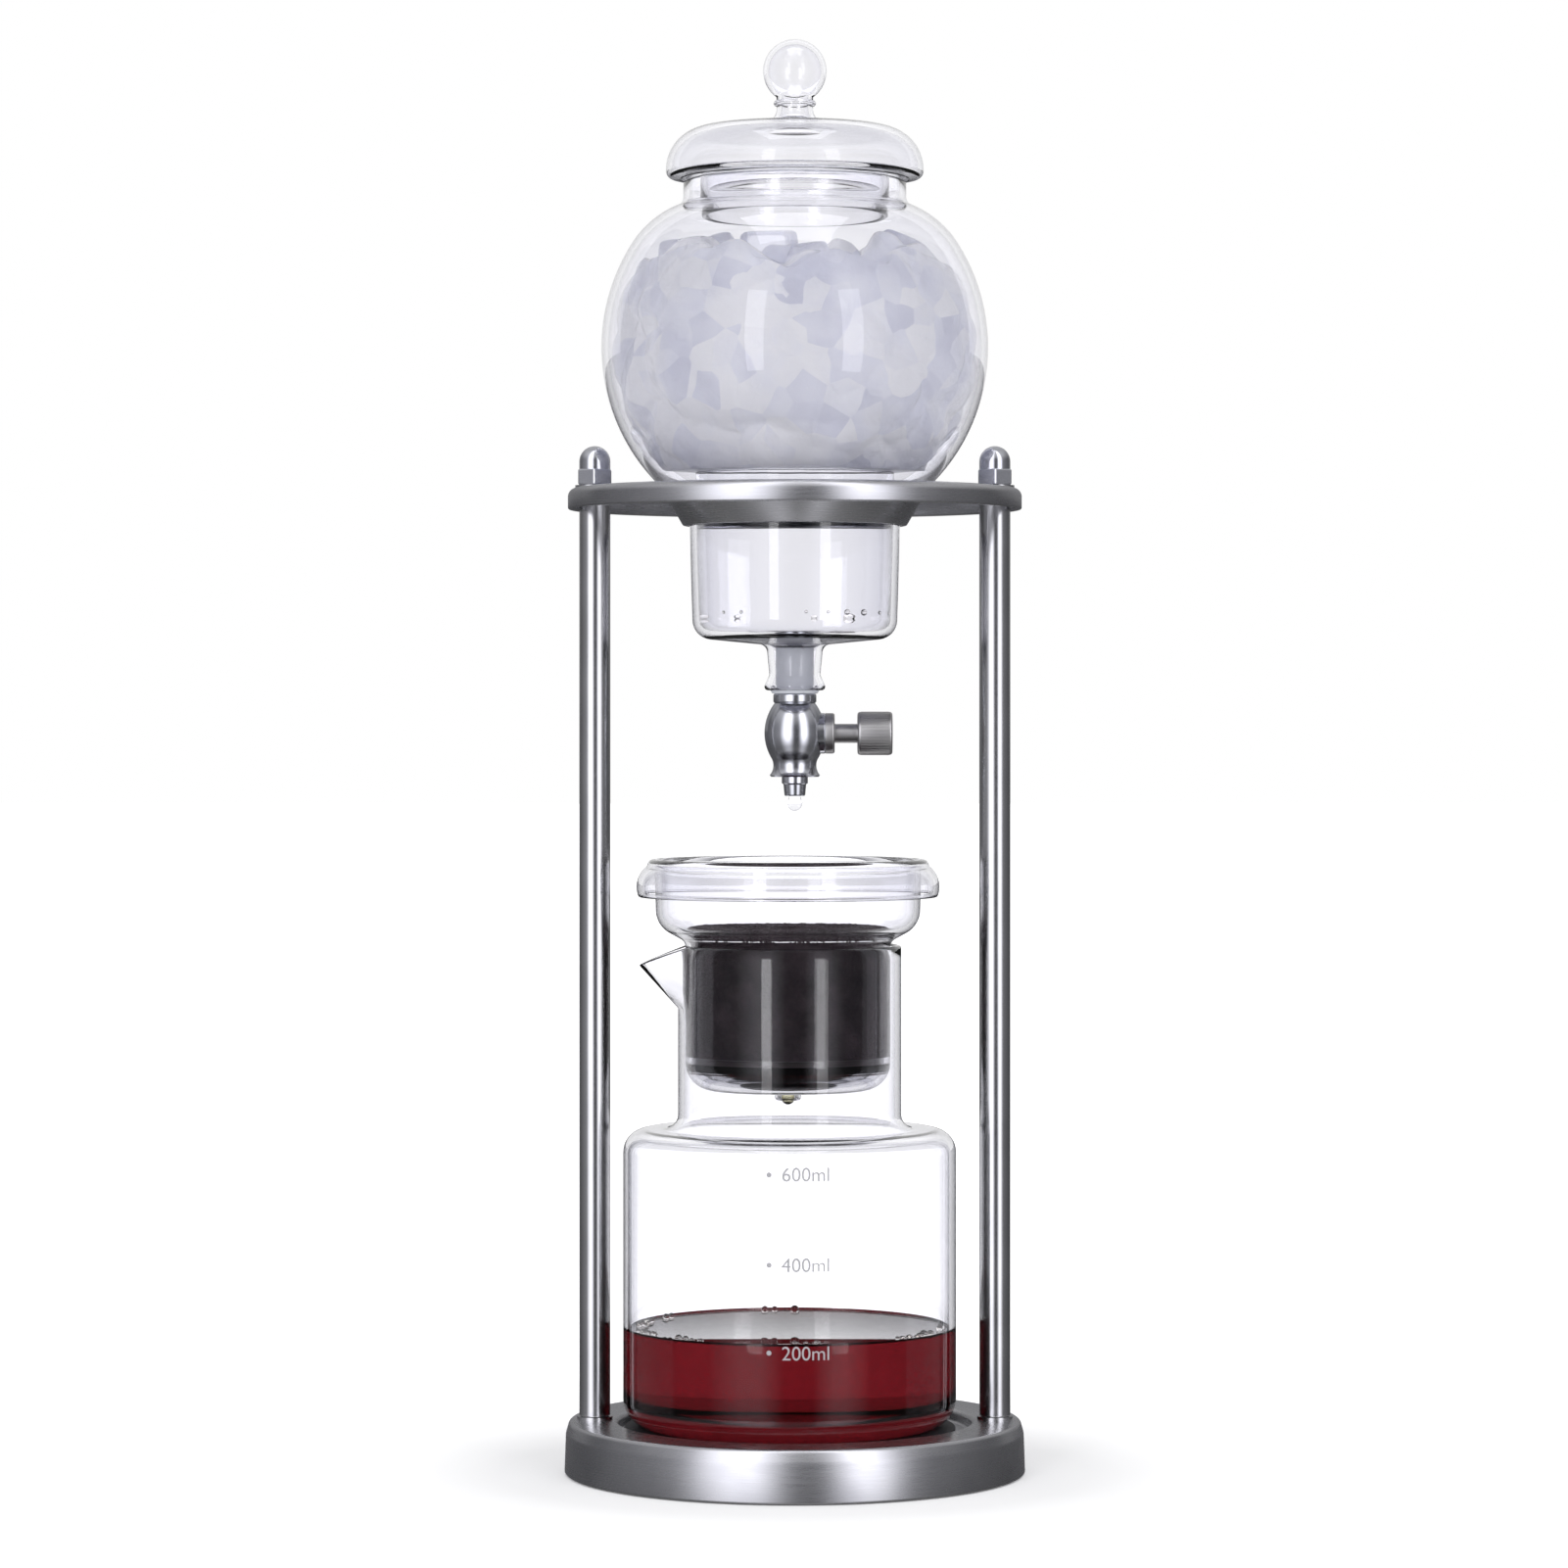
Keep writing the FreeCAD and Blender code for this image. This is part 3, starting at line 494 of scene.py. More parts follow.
# A random vector where low is a tuple, and else a random number
def randomValue(tree, low, high, seed=0):
    if isinstance(low, tuple):
        kind, first, last = "FLOAT_VECTOR", 0, 0
    else:
        kind, first, last = "FLOAT", 2, 1
    node = addNode(tree, "FunctionNodeRandomValue",
                   {first: low, first + 1: high, "Seed": seed}, data_type=kind)
    return node.outputs[last]


def placeOf(tree):
    return addNode(tree, "GeometryNodeInputPosition").outputs[0]


noTurn = (0, 0, 0)
fullTurn = (6.28, 6.28, 6.28)


# Turns an outline's points round the Z axis into a closed skin
def turnedTree():
    tree, start, end = newTree("turnedForm", [
        ("Segments", "NodeSocketInt", 96), ("Material", "NodeSocketMaterial", None)])
    outline = start.outputs["Geometry"]
    count = addNode(tree, "GeometryNodeAttributeDomainSize", {"Geometry": outline})
    columns = maths(tree, "ADD", start.outputs["Segments"], 1.0)
    grid = addNode(tree, "GeometryNodeMeshGrid",
                   {"Vertices X": count.outputs["Point Count"], "Vertices Y": columns})
    index = maths(tree, "ADD", addNode(tree, "GeometryNodeInputIndex").outputs[0], 0.5)
    row = maths(tree, "FLOOR", maths(tree, "DIVIDE", index, columns))
    column = maths(tree, "FLOOR", maths(tree, "MODULO", index, columns))
    step = maths(tree, "DIVIDE", 2 * math.pi, start.outputs["Segments"])
    angle = maths(tree, "MULTIPLY", column, step)
    sample = addNode(tree, "GeometryNodeSampleIndex",
                     {"Geometry": outline, "Value": placeOf(tree), "Index": row},
                     data_type="FLOAT_VECTOR")
    radius, _, height = splitVector(tree, sample.outputs[0])
    around = joinVector(tree, maths(tree, "MULTIPLY", radius, maths(tree, "COSINE", angle)),
                        maths(tree, "MULTIPLY", radius, maths(tree, "SINE", angle)), height)
    move = addNode(tree, "GeometryNodeSetPosition",
                   {"Geometry": grid.outputs["Mesh"], "Position": around})
    merge = addNode(tree, "GeometryNodeMergeByDistance",
                    {"Geometry": move.outputs["Geometry"], "Distance": 1e-6})
    finishTree(tree, merge.outputs["Geometry"], start, end)
    return tree


# Runs a tree on a mesh object and leaves its result as a plain mesh piece
def applyTree(source, tree, name, **values):
    modifier = source.modifiers.new("form", "NODES")
    modifier.node_group = tree
    for item in tree.interface.items_tree:
        if item.in_out == "INPUT" and item.name in values:
            modifier[item.identifier] = values[item.name]
    evaluated = source.evaluated_get(bpy.context.evaluated_depsgraph_get())
    mesh = bpy.data.meshes.new_from_object(evaluated)
    mesh.name = name
    bpy.data.objects.remove(source)
    return addObject(name, mesh)


def outlineObject(points):
    mesh = bpy.data.meshes.new("outline")
    mesh.from_pydata([(mm(r), 0, mm(z)) for r, z in points], [], [])
    return addObject("outline", mesh)


# Merges doubles, points the faces outwards and shades smoothly up to an angle
def settle(piece, sharpAngle=40):
    shape = bmesh.new()
    shape.from_mesh(piece.data)
    bmesh.ops.remove_doubles(shape, verts=shape.verts, dist=1e-7)
    bmesh.ops.dissolve_degenerate(shape, edges=shape.edges, dist=1e-8)
    bmesh.ops.recalc_face_normals(shape, faces=shape.faces)
    shape.to_mesh(piece.data)
    shape.free()
    piece.data.shade_smooth()
    piece.data.set_sharp_from_angle(angle=math.radians(sharpAngle))


def layOnSpindle(piece, along=0.0):
    piece.data.transform(Matrix.Rotation(math.radians(90), 4, "Y"))
    piece.data.transform(Matrix.Translation((mm(along), 0, mm(valveAxis))))


turnedForm = turnedTree()


# A turned piece on Z, or on the spindle's axis when along is X
def turn(name, points, material, body, shift=0.0, segments=144, sharpAngle=40, along="Z",
         replaces=()):
    piece = applyTree(outlineObject(points), turnedForm, name,
                      Segments=segments, Material=materials[material])
    if along == "X":
        layOnSpindle(piece)
    piece.data.transform(Matrix.Translation((mm(shift), 0, 0)))
    settle(piece, sharpAngle)
    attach(piece, body)
    if replaces:
        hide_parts(*replaces)
    return piece


# A closed outline whose ends lie on the axis
def solidOutline(corners, count=6):
    return cleanOutline(roundedOutline(corners, count))


# A closed outline that stays off the axis
def ringOutline(corners, count=6):
    first, second = corners[0], corners[1]
    middle = ((first[0] + second[0]) / 2, (first[1] + second[1]) / 2)
    loop = [middle] + list(corners[1:]) + [first, middle]
    return cleanOutline(roundedOutline(loop, count)) + [middle]


# Places that the frame gives
valveAxis = middleOf("valve_spindle").z
plateTop = lowOf("top_washers")
mouthRim = topOf("ice_globe")
outletLip = lowOf("ice_globe")
carafeShift = middleOf("carafe_mat").x
cupShift = middleOf("filter_screen").x
carafeFoot = lowOf("carafe_glass")
matTop = topOf("carafe_mat")
bowlRim = topOf("brew_cup")
nozzleTip = lowOf("drip_nozzle")
valveTop = topOf("valve_body")
valveFoot = lowOf("valve_body")
collarTop = topOf("inlet_collar")

# Stand
base = {"radius": 70.5, "taper": 0.4, "shoulderHeight": 12.2, "shoulderSetIn": 1.5,
        "shoulderRound": 5.0, "height": 16.0, "sheet": 1.2, "edgeRound": 1.4, "wellRadius": 54.0,
        "wellDepth": 4.0, "wellEdgeRound": 1.6, "wellFloorRound": 1.0, "foot": 0.8}


def makeBase():
    well = base["height"] - base["wellDepth"]
    run = roundedOutline([
        (base["radius"], base["foot"]),
        (base["radius"] - base["taper"], base["shoulderHeight"], base["shoulderRound"]),
        (base["radius"] - base["shoulderSetIn"], base["height"], base["edgeRound"]),
        (base["wellRadius"], base["height"], base["wellEdgeRound"]),
        (base["wellRadius"], well, base["wellFloorRound"]),
        (0, well)], 10)
    turn("BasePan", wallOutline(run, base["sheet"]), "brushedSteel", "stand", segments=192,
         replaces=["base_pan"])


plate = {"radius": 69.5, "sheet": 1.2, "rimDepth": 5.9, "edgeRound": 2.6, "plungeRadius": 33.4,
         "plungeDepth": 10.5, "plungeAngle": 30.0, "plungeRound": 8.0}


def makePlate():
    corner = plate["plungeRadius"] + plate["plungeDepth"] * math.tan(math.radians(plate["plungeAngle"]))
    run = roundedOutline([
        (plate["radius"], plateTop - plate["rimDepth"]),
        (plate["radius"], plateTop, plate["edgeRound"]),
        (corner, plateTop, plate["plungeRound"]),
        (plate["plungeRadius"], plateTop - plate["plungeDepth"])], 10)
    turn("TopPlate", wallOutline(run, plate["sheet"]), "brushedSteel", "stand", segments=192,
         replaces=["top_plate"])


post = {"radius": 4.75, "edge": 0.5, "spread": 61.3}


def makePosts():
    for side, node in ((-1, "post_left"), (1, "post_right")):
        low, top = lowOf(node), topOf(node)
        edge = post["edge"]
        points = solidOutline([
            (0, low), (post["radius"], low, edge), (post["radius"], top, edge), (0, top)])
        turn(node.title().replace("_", ""), points, "postSteel", "stand",
             shift=side * post["spread"], segments=64, replaces=[node])


nut = {"flats": 10.0, "hexHeight": 5.0, "domeRadius": 4.75, "domeSink": 0.5, "height": 12.0,
       "chamfer": 0.5, "chamferRise": 0.3, "bevel": 0.25, "hexAngle": 30}


def hexRing(size, height):
    reach = mm(size) / math.sqrt(3)
    angles = [math.radians(60 * step + nut["hexAngle"]) for step in range(6)]
    return [(reach * math.cos(angle), reach * math.sin(angle), mm(height)) for angle in angles]


def makeNuts():
    foot = lowOf("acorn_nuts")
    shape = bmesh.new()
    for side in (-1, 1):
        rings = []
        narrow = nut["flats"] - nut["chamfer"] * 2
        levels = [(narrow, 0), (nut["flats"], nut["chamferRise"]),
                  (nut["flats"], nut["hexHeight"] - nut["chamferRise"]), (narrow, nut["hexHeight"])]
        for size, height in levels:
            rings.append([shape.verts.new(place) for place in hexRing(size, foot + height)])
        for lower, upper in zip(rings, rings[1:]):
            for step in range(6):
                after = (step + 1) % 6
                shape.faces.new((lower[step], lower[after], upper[after], upper[step]))
        shape.faces.new(list(reversed(rings[0])))
        shape.faces.new(rings[-1])
        for ringVerts in rings:
            for vert in ringVerts:
                vert.co.x += mm(side * post["spread"])
    mesh = bpy.data.meshes.new("AcornNutHexes")
    shape.to_mesh(mesh)
    shape.free()
    hexes = addObject("AcornNutHexes", mesh)
    mesh.materials.append(materials["chrome"])
    bevel = hexes.modifiers.new("edge", "BEVEL")
    bevel.width = mm(nut["bevel"])
    bevel.segments = 2
    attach(hexes, "stand")
    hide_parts("acorn_nuts")
    radius = nut["domeRadius"]
    ball = foot + nut["height"] - radius
    start = foot + nut["hexHeight"] - nut["domeSink"]
    points = [(0, start), (radius, start)]
    points += arcPoints((0, ball), radius, 0, 90, 14)
    for side, label in ((-1, "Left"), (1, "Right")):
        turn("AcornDome" + label, points, "chrome", "stand", shift=side * post["spread"],
             segments=48)


mat = {"radius": 50.8, "round": 0.6, "thickness": 2.0}


def makeMat():
    low = matTop - mat["thickness"]
    points = solidOutline([
        (0, low), (mat["radius"], low, mat["round"]), (mat["radius"], matTop, mat["round"]),
        (0, matTop)])
    turn("CarafeMat", points, "matRubber", "stand", shift=carafeShift,
         replaces=["carafe_mat"])


makeBase()
makePlate()
makePosts()
makeNuts()
makeMat()
print("stand made")

# Ice globe and lid
globe = {"radius": 59.25, "wall": 2.0, "shoulderAngle": 32.4, "shoulderRound": 29.7,
         "mouthRadius": 34.2, "mouthRound": 3.0, "throatRadius": 32.4,
         "throatFootRadius": 31.2, "throatJoinRound": 3.0, "throatFootRound": 6.0,
         "throatFootFall": 2.2, "outletReach": 104.4, "outletLength": 13.3,
         "outletRoot": 8.7, "outletWaist": 7.8, "outletLipRadius": 9.3, "outletLipHeight": 4.2,
         "outletLipEdge": 0.9, "outletLipFoot": 0.4, "outletRound": 2.5}
globeCentre = outletLip + globe["outletReach"]


def globeOutline():
    centre = Vector((0, globeCentre))
    lean = math.radians(globe["shoulderAngle"])
    outward = Vector((math.cos(lean), math.sin(lean)))
    shoulderMiddle = centre + outward * (globe["radius"] - globe["shoulderRound"])
    shoulderEnd = centre + outward * globe["radius"]
    reach = globe["shoulderRound"] + globe["mouthRound"]
    mouthX = globe["mouthRadius"] + globe["mouthRound"]
    mouthMiddle = Vector((mouthX, shoulderMiddle.y
                          + math.sqrt(reach ** 2 - (mouthX - shoulderMiddle.x) ** 2)))
    mouthEnd = (globe["mouthRadius"], mouthMiddle.y)
    shoulderStart = shoulderMiddle + (mouthMiddle - shoulderMiddle).normalized() * globe["shoulderRound"]
    joinX = globe["throatRadius"] + globe["throatJoinRound"]
    joinDrop = math.sqrt((globe["radius"] + globe["throatJoinRound"]) ** 2 - joinX ** 2)
    joinMiddle = Vector((joinX, globeCentre - joinDrop))
    joinStart = centre + (joinMiddle - centre).normalized() * globe["radius"]
    joinEnd = (globe["throatRadius"], joinMiddle.y)
    points = [(globe["mouthRadius"], mouthRim - globe["wall"] * 0.5)]
    points += shortArc(tuple(mouthMiddle), mouthEnd, tuple(shoulderStart), 8)
    points += shortArc(tuple(shoulderMiddle), tuple(shoulderStart), tuple(shoulderEnd), 14)
    points += arcPoints((0, globeCentre), globe["radius"], globe["shoulderAngle"],
                        angleTo((0, globeCentre), tuple(joinStart)), 56)
    points += shortArc(tuple(joinMiddle), tuple(joinStart), joinEnd, 8)
    points += roundedOutline([
        joinEnd,
        (globe["throatFootRadius"], outletLip + globe["outletLength"] + globe["throatFootFall"],
         globe["throatFootRound"]),
        (globe["outletRoot"], outletLip + globe["outletLength"], globe["outletRound"]),
        (globe["outletWaist"], outletLip + globe["outletLipHeight"], globe["outletRound"]),
        (globe["outletLipRadius"], outletLip + globe["outletLipEdge"], globe["outletLipEdge"]),
        (globe["outletLipRadius"], outletLip + globe["outletLipFoot"])], 8)
    return cleanOutline(points)


lid = {"wall": 1.6, "restGap": 0.3, "brimRadius": 39.5, "brimRise": 0.84, "brimRound": 2.0,
       "domeHeight": 15.0, "domeTopHeight": 18.0, "domeRound": 13.0, "stemRadius": 5.6,
       "stemRound": 4.0, "ballRadius": 9.75, "ballHeight": 33.3, "skirtRadius": 28.8,
       "skirtDepth": 10.5, "skirtRound": 2.0, "seatRadius": 35.0, "beadRadius": 0.9,
       "beadHeight": 23.4}


def lidOutline():
    rest = mouthRim + lid["restGap"]
    ball = (0, rest + lid["ballHeight"])
    stem = -math.degrees(math.acos(lid["stemRadius"] / lid["ballRadius"]))
    points = arcPoints(ball, lid["ballRadius"], 90, stem, 30)
    points += roundedOutline([
        points[-1],
        (lid["stemRadius"], rest + lid["domeTopHeight"], lid["stemRound"]),
        (lid["brimRadius"], rest + lid["domeHeight"], lid["domeRound"]),
        (lid["brimRadius"], rest + lid["brimRise"], lid["brimRound"]),
        (lid["seatRadius"], rest, lid["brimRound"]),
        (lid["skirtRadius"], rest, lid["skirtRound"]),
        (lid["skirtRadius"], rest - lid["skirtDepth"] + lid["wall"] * 0.5)], 12)
    return cleanOutline(points)


turn("GlobeGlass", wallOutline(globeOutline(), -globe["wall"]), "clearGlass", "vessel",
     segments=192, sharpAngle=60, replaces=["ice_globe"])
turn("LidGlass", wallOutline(lidOutline(), -lid["wall"]), "clearGlass", "lid",
     segments=160, sharpAngle=60, replaces=["globe_lid"])
stemBead = (lid["stemRadius"], mouthRim + lid["restGap"] + lid["beadHeight"])
turn("LidStemBead", arcPoints(stemBead, lid["beadRadius"], -90, 90, 12), "clearGlass", "lid",
     segments=96)
print("globe and lid made")

# Stopper, collar and needle valve
stopper = {"bore": 2.5, "footRadius": 6.9, "footRound": 0.4, "brimRadius": 7.8, "brimRound": 0.5,
           "brimGap": 0.1, "shoulderGap": 0.05, "press": 0.05, "length": 13.0, "endRound": 0.5}
valve = {"waist": 6.6, "waistHeight": 3.8, "waistRise": 1.6, "waistFlare": 0.4, "footRadius": 7.7,
         "footHeight": 0.5, "footEdge": 0.4, "belly": 9.3, "topRadius": 6.2, "bossRadius": 6.2,
         "bossStart": 4.0, "bossReach": 9.4, "bossEdge": 0.4, "collarRadius": 6.6,
         "collarEdge": 0.6, "nutRadius": 6.2, "nutLength": 2.8, "nutBackEdge": 0.2, "nutEdge": 0.7,
         "stemRadius": 2.9, "stemGap": 0.05, "knobRadius": 6.6, "knobStart": 19.2,
         "knobLength": 10.7, "knobRound": 0.9, "knobRidges": 44, "knobRidgeDepth": 0.08,
         "knobRidgeSink": 0.02, "knobRidgeShare": 2.4, "nozzleRoot": 3.5, "nozzleRootFall": 2.2,
         "nozzleRootRound": 0.4, "nozzleTip": 3.15, "nozzleTipRound": 0.5, "nozzleBore": 1.0,
         "flange": 0.5, "flangeHeight": 2.0, "flangeRound": 0.2}


def circleThrough(a, b, c):
    ax, ay, bx, by, cx, cy = *a, *b, *c
    d = 2 * (ax * (by - cy) + bx * (cy - ay) + cx * (ay - by))
    ux = ((ax ** 2 + ay ** 2) * (by - cy) + (bx ** 2 + by ** 2) * (cy - ay)
          + (cx ** 2 + cy ** 2) * (ay - by)) / d
    uy = ((ax ** 2 + ay ** 2) * (cx - bx) + (bx ** 2 + by ** 2) * (ax - cx)
          + (cx ** 2 + cy ** 2) * (bx - ax)) / d
    return ux, uy


def makeStopper():
    inside = globe["outletWaist"] - globe["wall"] + stopper["press"]
    end = outletLip + stopper["length"]
    points = ringOutline([
        (stopper["bore"], collarTop), (stopper["footRadius"], collarTop, stopper["footRound"]),
        (stopper["brimRadius"], outletLip - stopper["brimGap"], stopper["brimRound"]),
        (inside, outletLip - stopper["shoulderGap"]),
        (inside, end, stopper["endRound"]), (stopper["bore"], end)])
    turn("OutletStopper", points, "silicone", "vessel", segments=72,
         replaces=["outlet_stopper"])


def makeValve():
    waist = (valve["waist"], valveFoot + valve["waistHeight"])
    low = (waist[0] + valve["waistFlare"], waist[1] + valve["waistRise"])
    foot = (valve["footRadius"], valveFoot + valve["footHeight"])
    top = (valve["topRadius"], valveTop)
    belly = (valve["belly"], valveAxis)
    points = [(0, valveFoot), (valve["footRadius"] - valve["footEdge"], valveFoot)]
    points += shortArc(circleThrough(foot, waist, low), foot, low, 12)
    points += shortArc(circleThrough(low, belly, top), low, top, 28)
    points.append((0, valveTop))
    turn("ValveBody", cleanOutline(points), "chrome", "vessel", segments=128,
         replaces=["valve_body"])
    boss, reach = valve["bossRadius"], valve["bossReach"]
    turn("ValveBoss", solidOutline([
        (0, valve["bossStart"]), (boss, valve["bossStart"]), (boss, reach, valve["bossEdge"]),
        (0, reach)]), "chrome", "vessel", segments=72, along="X")
    edge = valve["collarEdge"]
    turn("InletCollar", solidOutline([
        (0, valveTop), (valve["collarRadius"], valveTop, edge),
        (valve["collarRadius"], collarTop, edge), (0, collarTop)]), "chrome", "vessel",
        segments=96, replaces=["inlet_collar"])
    end = reach + valve["nutLength"]
    inside = valve["stemRadius"] + valve["stemGap"]
    turn("PackingNut", ringOutline([
        (inside, reach), (valve["nutRadius"], reach, valve["nutBackEdge"]),
        (valve["nutRadius"], end, valve["nutEdge"]), (inside, end)]),
        "satinMetal", "vessel", segments=72, along="X", replaces=["packing_nut"])
    bore = valve["nozzleBore"]
    flange = valve["nozzleRoot"] + valve["flange"]
    turn("DripNozzle", ringOutline([
        (bore, nozzleTip), (valve["nozzleTip"], nozzleTip, valve["nozzleTipRound"]),
        (valve["nozzleRoot"], valveFoot - valve["nozzleRootFall"], valve["nozzleRootRound"]),
        (flange, valveFoot - valve["flangeHeight"], valve["flangeRound"]),
        (flange, valveFoot), (bore, valveFoot)]),
        "chrome", "vessel", segments=64, replaces=["drip_nozzle"])


# Fine straight ridges round the knob, one bar repeated on a circle
def ridgeTree():
    tree, start, end = newTree("knobRidges", [
        ("Count", "NodeSocketInt", 40), ("Radius", "NodeSocketFloat", 0.006),
        ("Depth", "NodeSocketFloat", 0.0002), ("Length", "NodeSocketFloat", 0.008),
        ("Material", "NodeSocketMaterial", None)])
    circle = addNode(tree, "GeometryNodeMeshCircle",
                     {"Vertices": start.outputs["Count"], "Radius": start.outputs["Radius"]})
    bar = addNode(tree, "GeometryNodeMeshCylinder",
                  {"Vertices": 8, "Radius": start.outputs["Depth"],
                   "Depth": start.outputs["Length"]})
    finishTree(tree, repeatShape(tree, circle.outputs["Mesh"], bar.outputs["Mesh"]), start, end)
    return tree


def makeKnob():
    start = valve["knobStart"]
    end = start + valve["knobLength"]
    size = valve["knobRound"]
    turn("ValveKnob", solidOutline([
        (0, start), (valve["knobRadius"], start, size), (valve["knobRadius"], end, size), (0, end)]),
        "satinMetal", "knob", segments=96, along="X", replaces=["valve_knob"])
    ridges = applyTree(outlineObject([(0, 0)]), ridgeTree(), "KnobRidges",
                       Count=valve["knobRidges"],
                       Radius=mm(valve["knobRadius"] - valve["knobRidgeSink"]),
                       Depth=mm(valve["knobRidgeDepth"]),
                       Length=mm(valve["knobLength"] - valve["knobRidgeShare"] * size),
                       Material=materials["satinMetal"])
    layOnSpindle(ridges, (start + end) / 2)
    settle(ridges)
    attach(ridges, "knob")


makeStopper()
makeValve()
makeKnob()
print("valve made")

# Carafe
carafe = {"radius": 51.0, "wall": 1.8, "footRound": 8.5, "shoulderHeight": 91.0,
          "shoulderRound": 7.0, "neckRadius": 34.2, "neckFootRound": 4.5, "height": 147.3,
          "spoutReach": 12.2, "spoutDrop": 5.9, "spoutFoot": 19.4, "spoutHalfAngle": 24.0,
          "spoutPinch": 0.35, "spoutFlare": 0.2, "spoutLead": 4.0,
          "spoutShares": (1, 0.8, 0.6, 0.4, 0.2)}
carafeRim = carafeFoot + carafe["height"]


def carafeOutline():
    neck = carafe["neckRadius"]
    shoulder = carafeFoot + carafe["shoulderHeight"]
    corners = [
        (0, carafeFoot), (carafe["radius"], carafeFoot, carafe["footRound"]),
        (carafe["radius"], shoulder, carafe["shoulderRound"]),
        (neck, shoulder, carafe["neckFootRound"]),
        (neck, carafeRim - carafe["spoutFoot"] - carafe["spoutLead"])]
    corners += [(neck, carafeRim - carafe["spoutFoot"] * share) for share in carafe["spoutShares"]]
    corners.append((neck, carafeRim - carafe["wall"] * 0.5))
    return cleanOutline(roundedOutline(corners, 10))


# Draws the neck's left side out into a beak that slopes down to its tip
def pullSpout(piece):
    halfAngle = math.radians(carafe["spoutHalfAngle"])
    for vert in piece.data.vertices:
        x = vert.co.x * 1000 - carafeShift
        y = vert.co.y * 1000
        height = vert.co.z * 1000
        reach = math.hypot(x, y)
        rise = (height - (carafeRim - carafe["spoutFoot"])) / carafe["spoutFoot"]
        off = abs(math.atan2(y, -x)) / halfAngle
        if rise <= 0 or off >= 1 or reach > carafe["neckRadius"] + 1:
            continue
        rise = min(rise, 1)
        across = 1 - off
        pull = carafe["spoutReach"] * rise * across
        drop = carafe["spoutDrop"] * rise * across
        scale = (reach + pull) / reach
        squeeze = 1 - carafe["spoutPinch"] * rise * across
        vert.co.x = mm(x * scale + carafeShift)
        vert.co.y = mm(y * squeeze * (1 + carafe["spoutFlare"] * pull / reach))
        vert.co.z = mm(height - drop)


carafeGlass = turn("CarafeGlass", wallOutline(carafeOutline(), carafe["wall"]), "clearGlass",
                   "carafe", shift=carafeShift, segments=240, sharpAngle=60,
                   replaces=["carafe_glass"])
pullSpout(carafeGlass)

# Brew cup
cup = {"wall": 1.7, "radius": 31.4, "shoulder": 26.0, "bowlFloorRise": 5.0, "bowlRadius": 40.9,
       "taper": 0.5, "bowlFootRound": 8.0, "rimRound": 2.0, "joinRound": 3.0, "skirtRadius": 46.0,
       "skirtDepth": 11.0, "skirtBulge": 1.4, "skirtBulgeRise": 0.56, "beadRadius": 0.5,
       "beadSetIn": 0.68, "beadFall": 0.1, "footRound": 8.5, "footFall": 0.6, "nubRadius": 4.0,
       "nubRound": 1.2, "nubLength": 3.0, "nubRim": 0.5}
cupBottom = lowOf("brew_cup") + cup["nubLength"]
cupShoulder = bowlRim - cup["shoulder"]


def cupOutline():
    wall = cup["wall"]
    bore = cup["radius"] - wall
    floor = cupBottom + wall
    bowlBore = cup["bowlRadius"] - wall
    bowlFloor = cupShoulder + wall
    foldMiddle = (bowlBore + cup["rimRound"], bowlRim - cup["rimRound"])
    foldStart = (foldMiddle[0] + cup["rimRound"], foldMiddle[1])
    skirtEdge = (cup["skirtRadius"], bowlRim - cup["skirtDepth"])
    bulge = ((foldStart[0] + skirtEdge[0]) / 2 + cup["skirtBulge"],
             (foldStart[1] + skirtEdge[1]) / 2 + cup["skirtBulgeRise"])
    points = shortArc(circleThrough(skirtEdge, bulge, foldStart), skirtEdge, foldStart, 14)
    points += arcPoints(foldMiddle, cup["rimRound"], 0, 180, 14)
    points += roundedOutline([
        points[-1],
        (bowlBore - cup["taper"], bowlFloor + cup["bowlFloorRise"], cup["bowlFootRound"] - wall),
        (bore, bowlFloor, cup["joinRound"] + wall),
        (bore, floor, cup["footRound"] - wall),
        (cup["nubRadius"] - wall, floor - cup["footFall"], cup["nubRound"]),
        (cup["nubRadius"] - wall, lowOf("brew_cup") + cup["nubRim"])], 10)
    return cleanOutline(points)


turn("BrewCupGlass", wallOutline(cupOutline(), cup["wall"]), "clearGlass", "brewer",
     shift=cupShift, segments=192, sharpAngle=60, replaces=["brew_cup"])
skirtBead = (cup["skirtRadius"] - cup["beadSetIn"], bowlRim - cup["skirtDepth"] - cup["beadFall"])
turn("CupSkirtBead", arcPoints(skirtBead, cup["beadRadius"], 0, 360, 16), "clearGlass",
     "brewer", shift=cupShift, segments=160)
print("carafe and cup made")

# Ice: a milky mass of melted lumps that fills the globe, with clearer cubes on top of it
ice = {"radius": 57.0, "foot": 306.5, "top": 366.0, "lumpSize": 17.0, "lumpHeight": 13.0,
       "topLumpShare": 0.8, "topHollow": 0.9, "crease": 5.0, "ripple": 1.6, "rippleSize": 5.0,
       "cubeShell": 41.0, "cubeSpacing": 15.0, "cubeDensity": 20000, "cube": 14.5, "cubeEdge": 0.42,
       "cubeSmall": (0.8, 0.8, 0.8), "cubeLarge": (1.4, 1.2, 1.2), "cubeLow": 362.0,
       "cubeTop": 372.0, "cubeLimit": 56.3, "cubeSeed": 9}


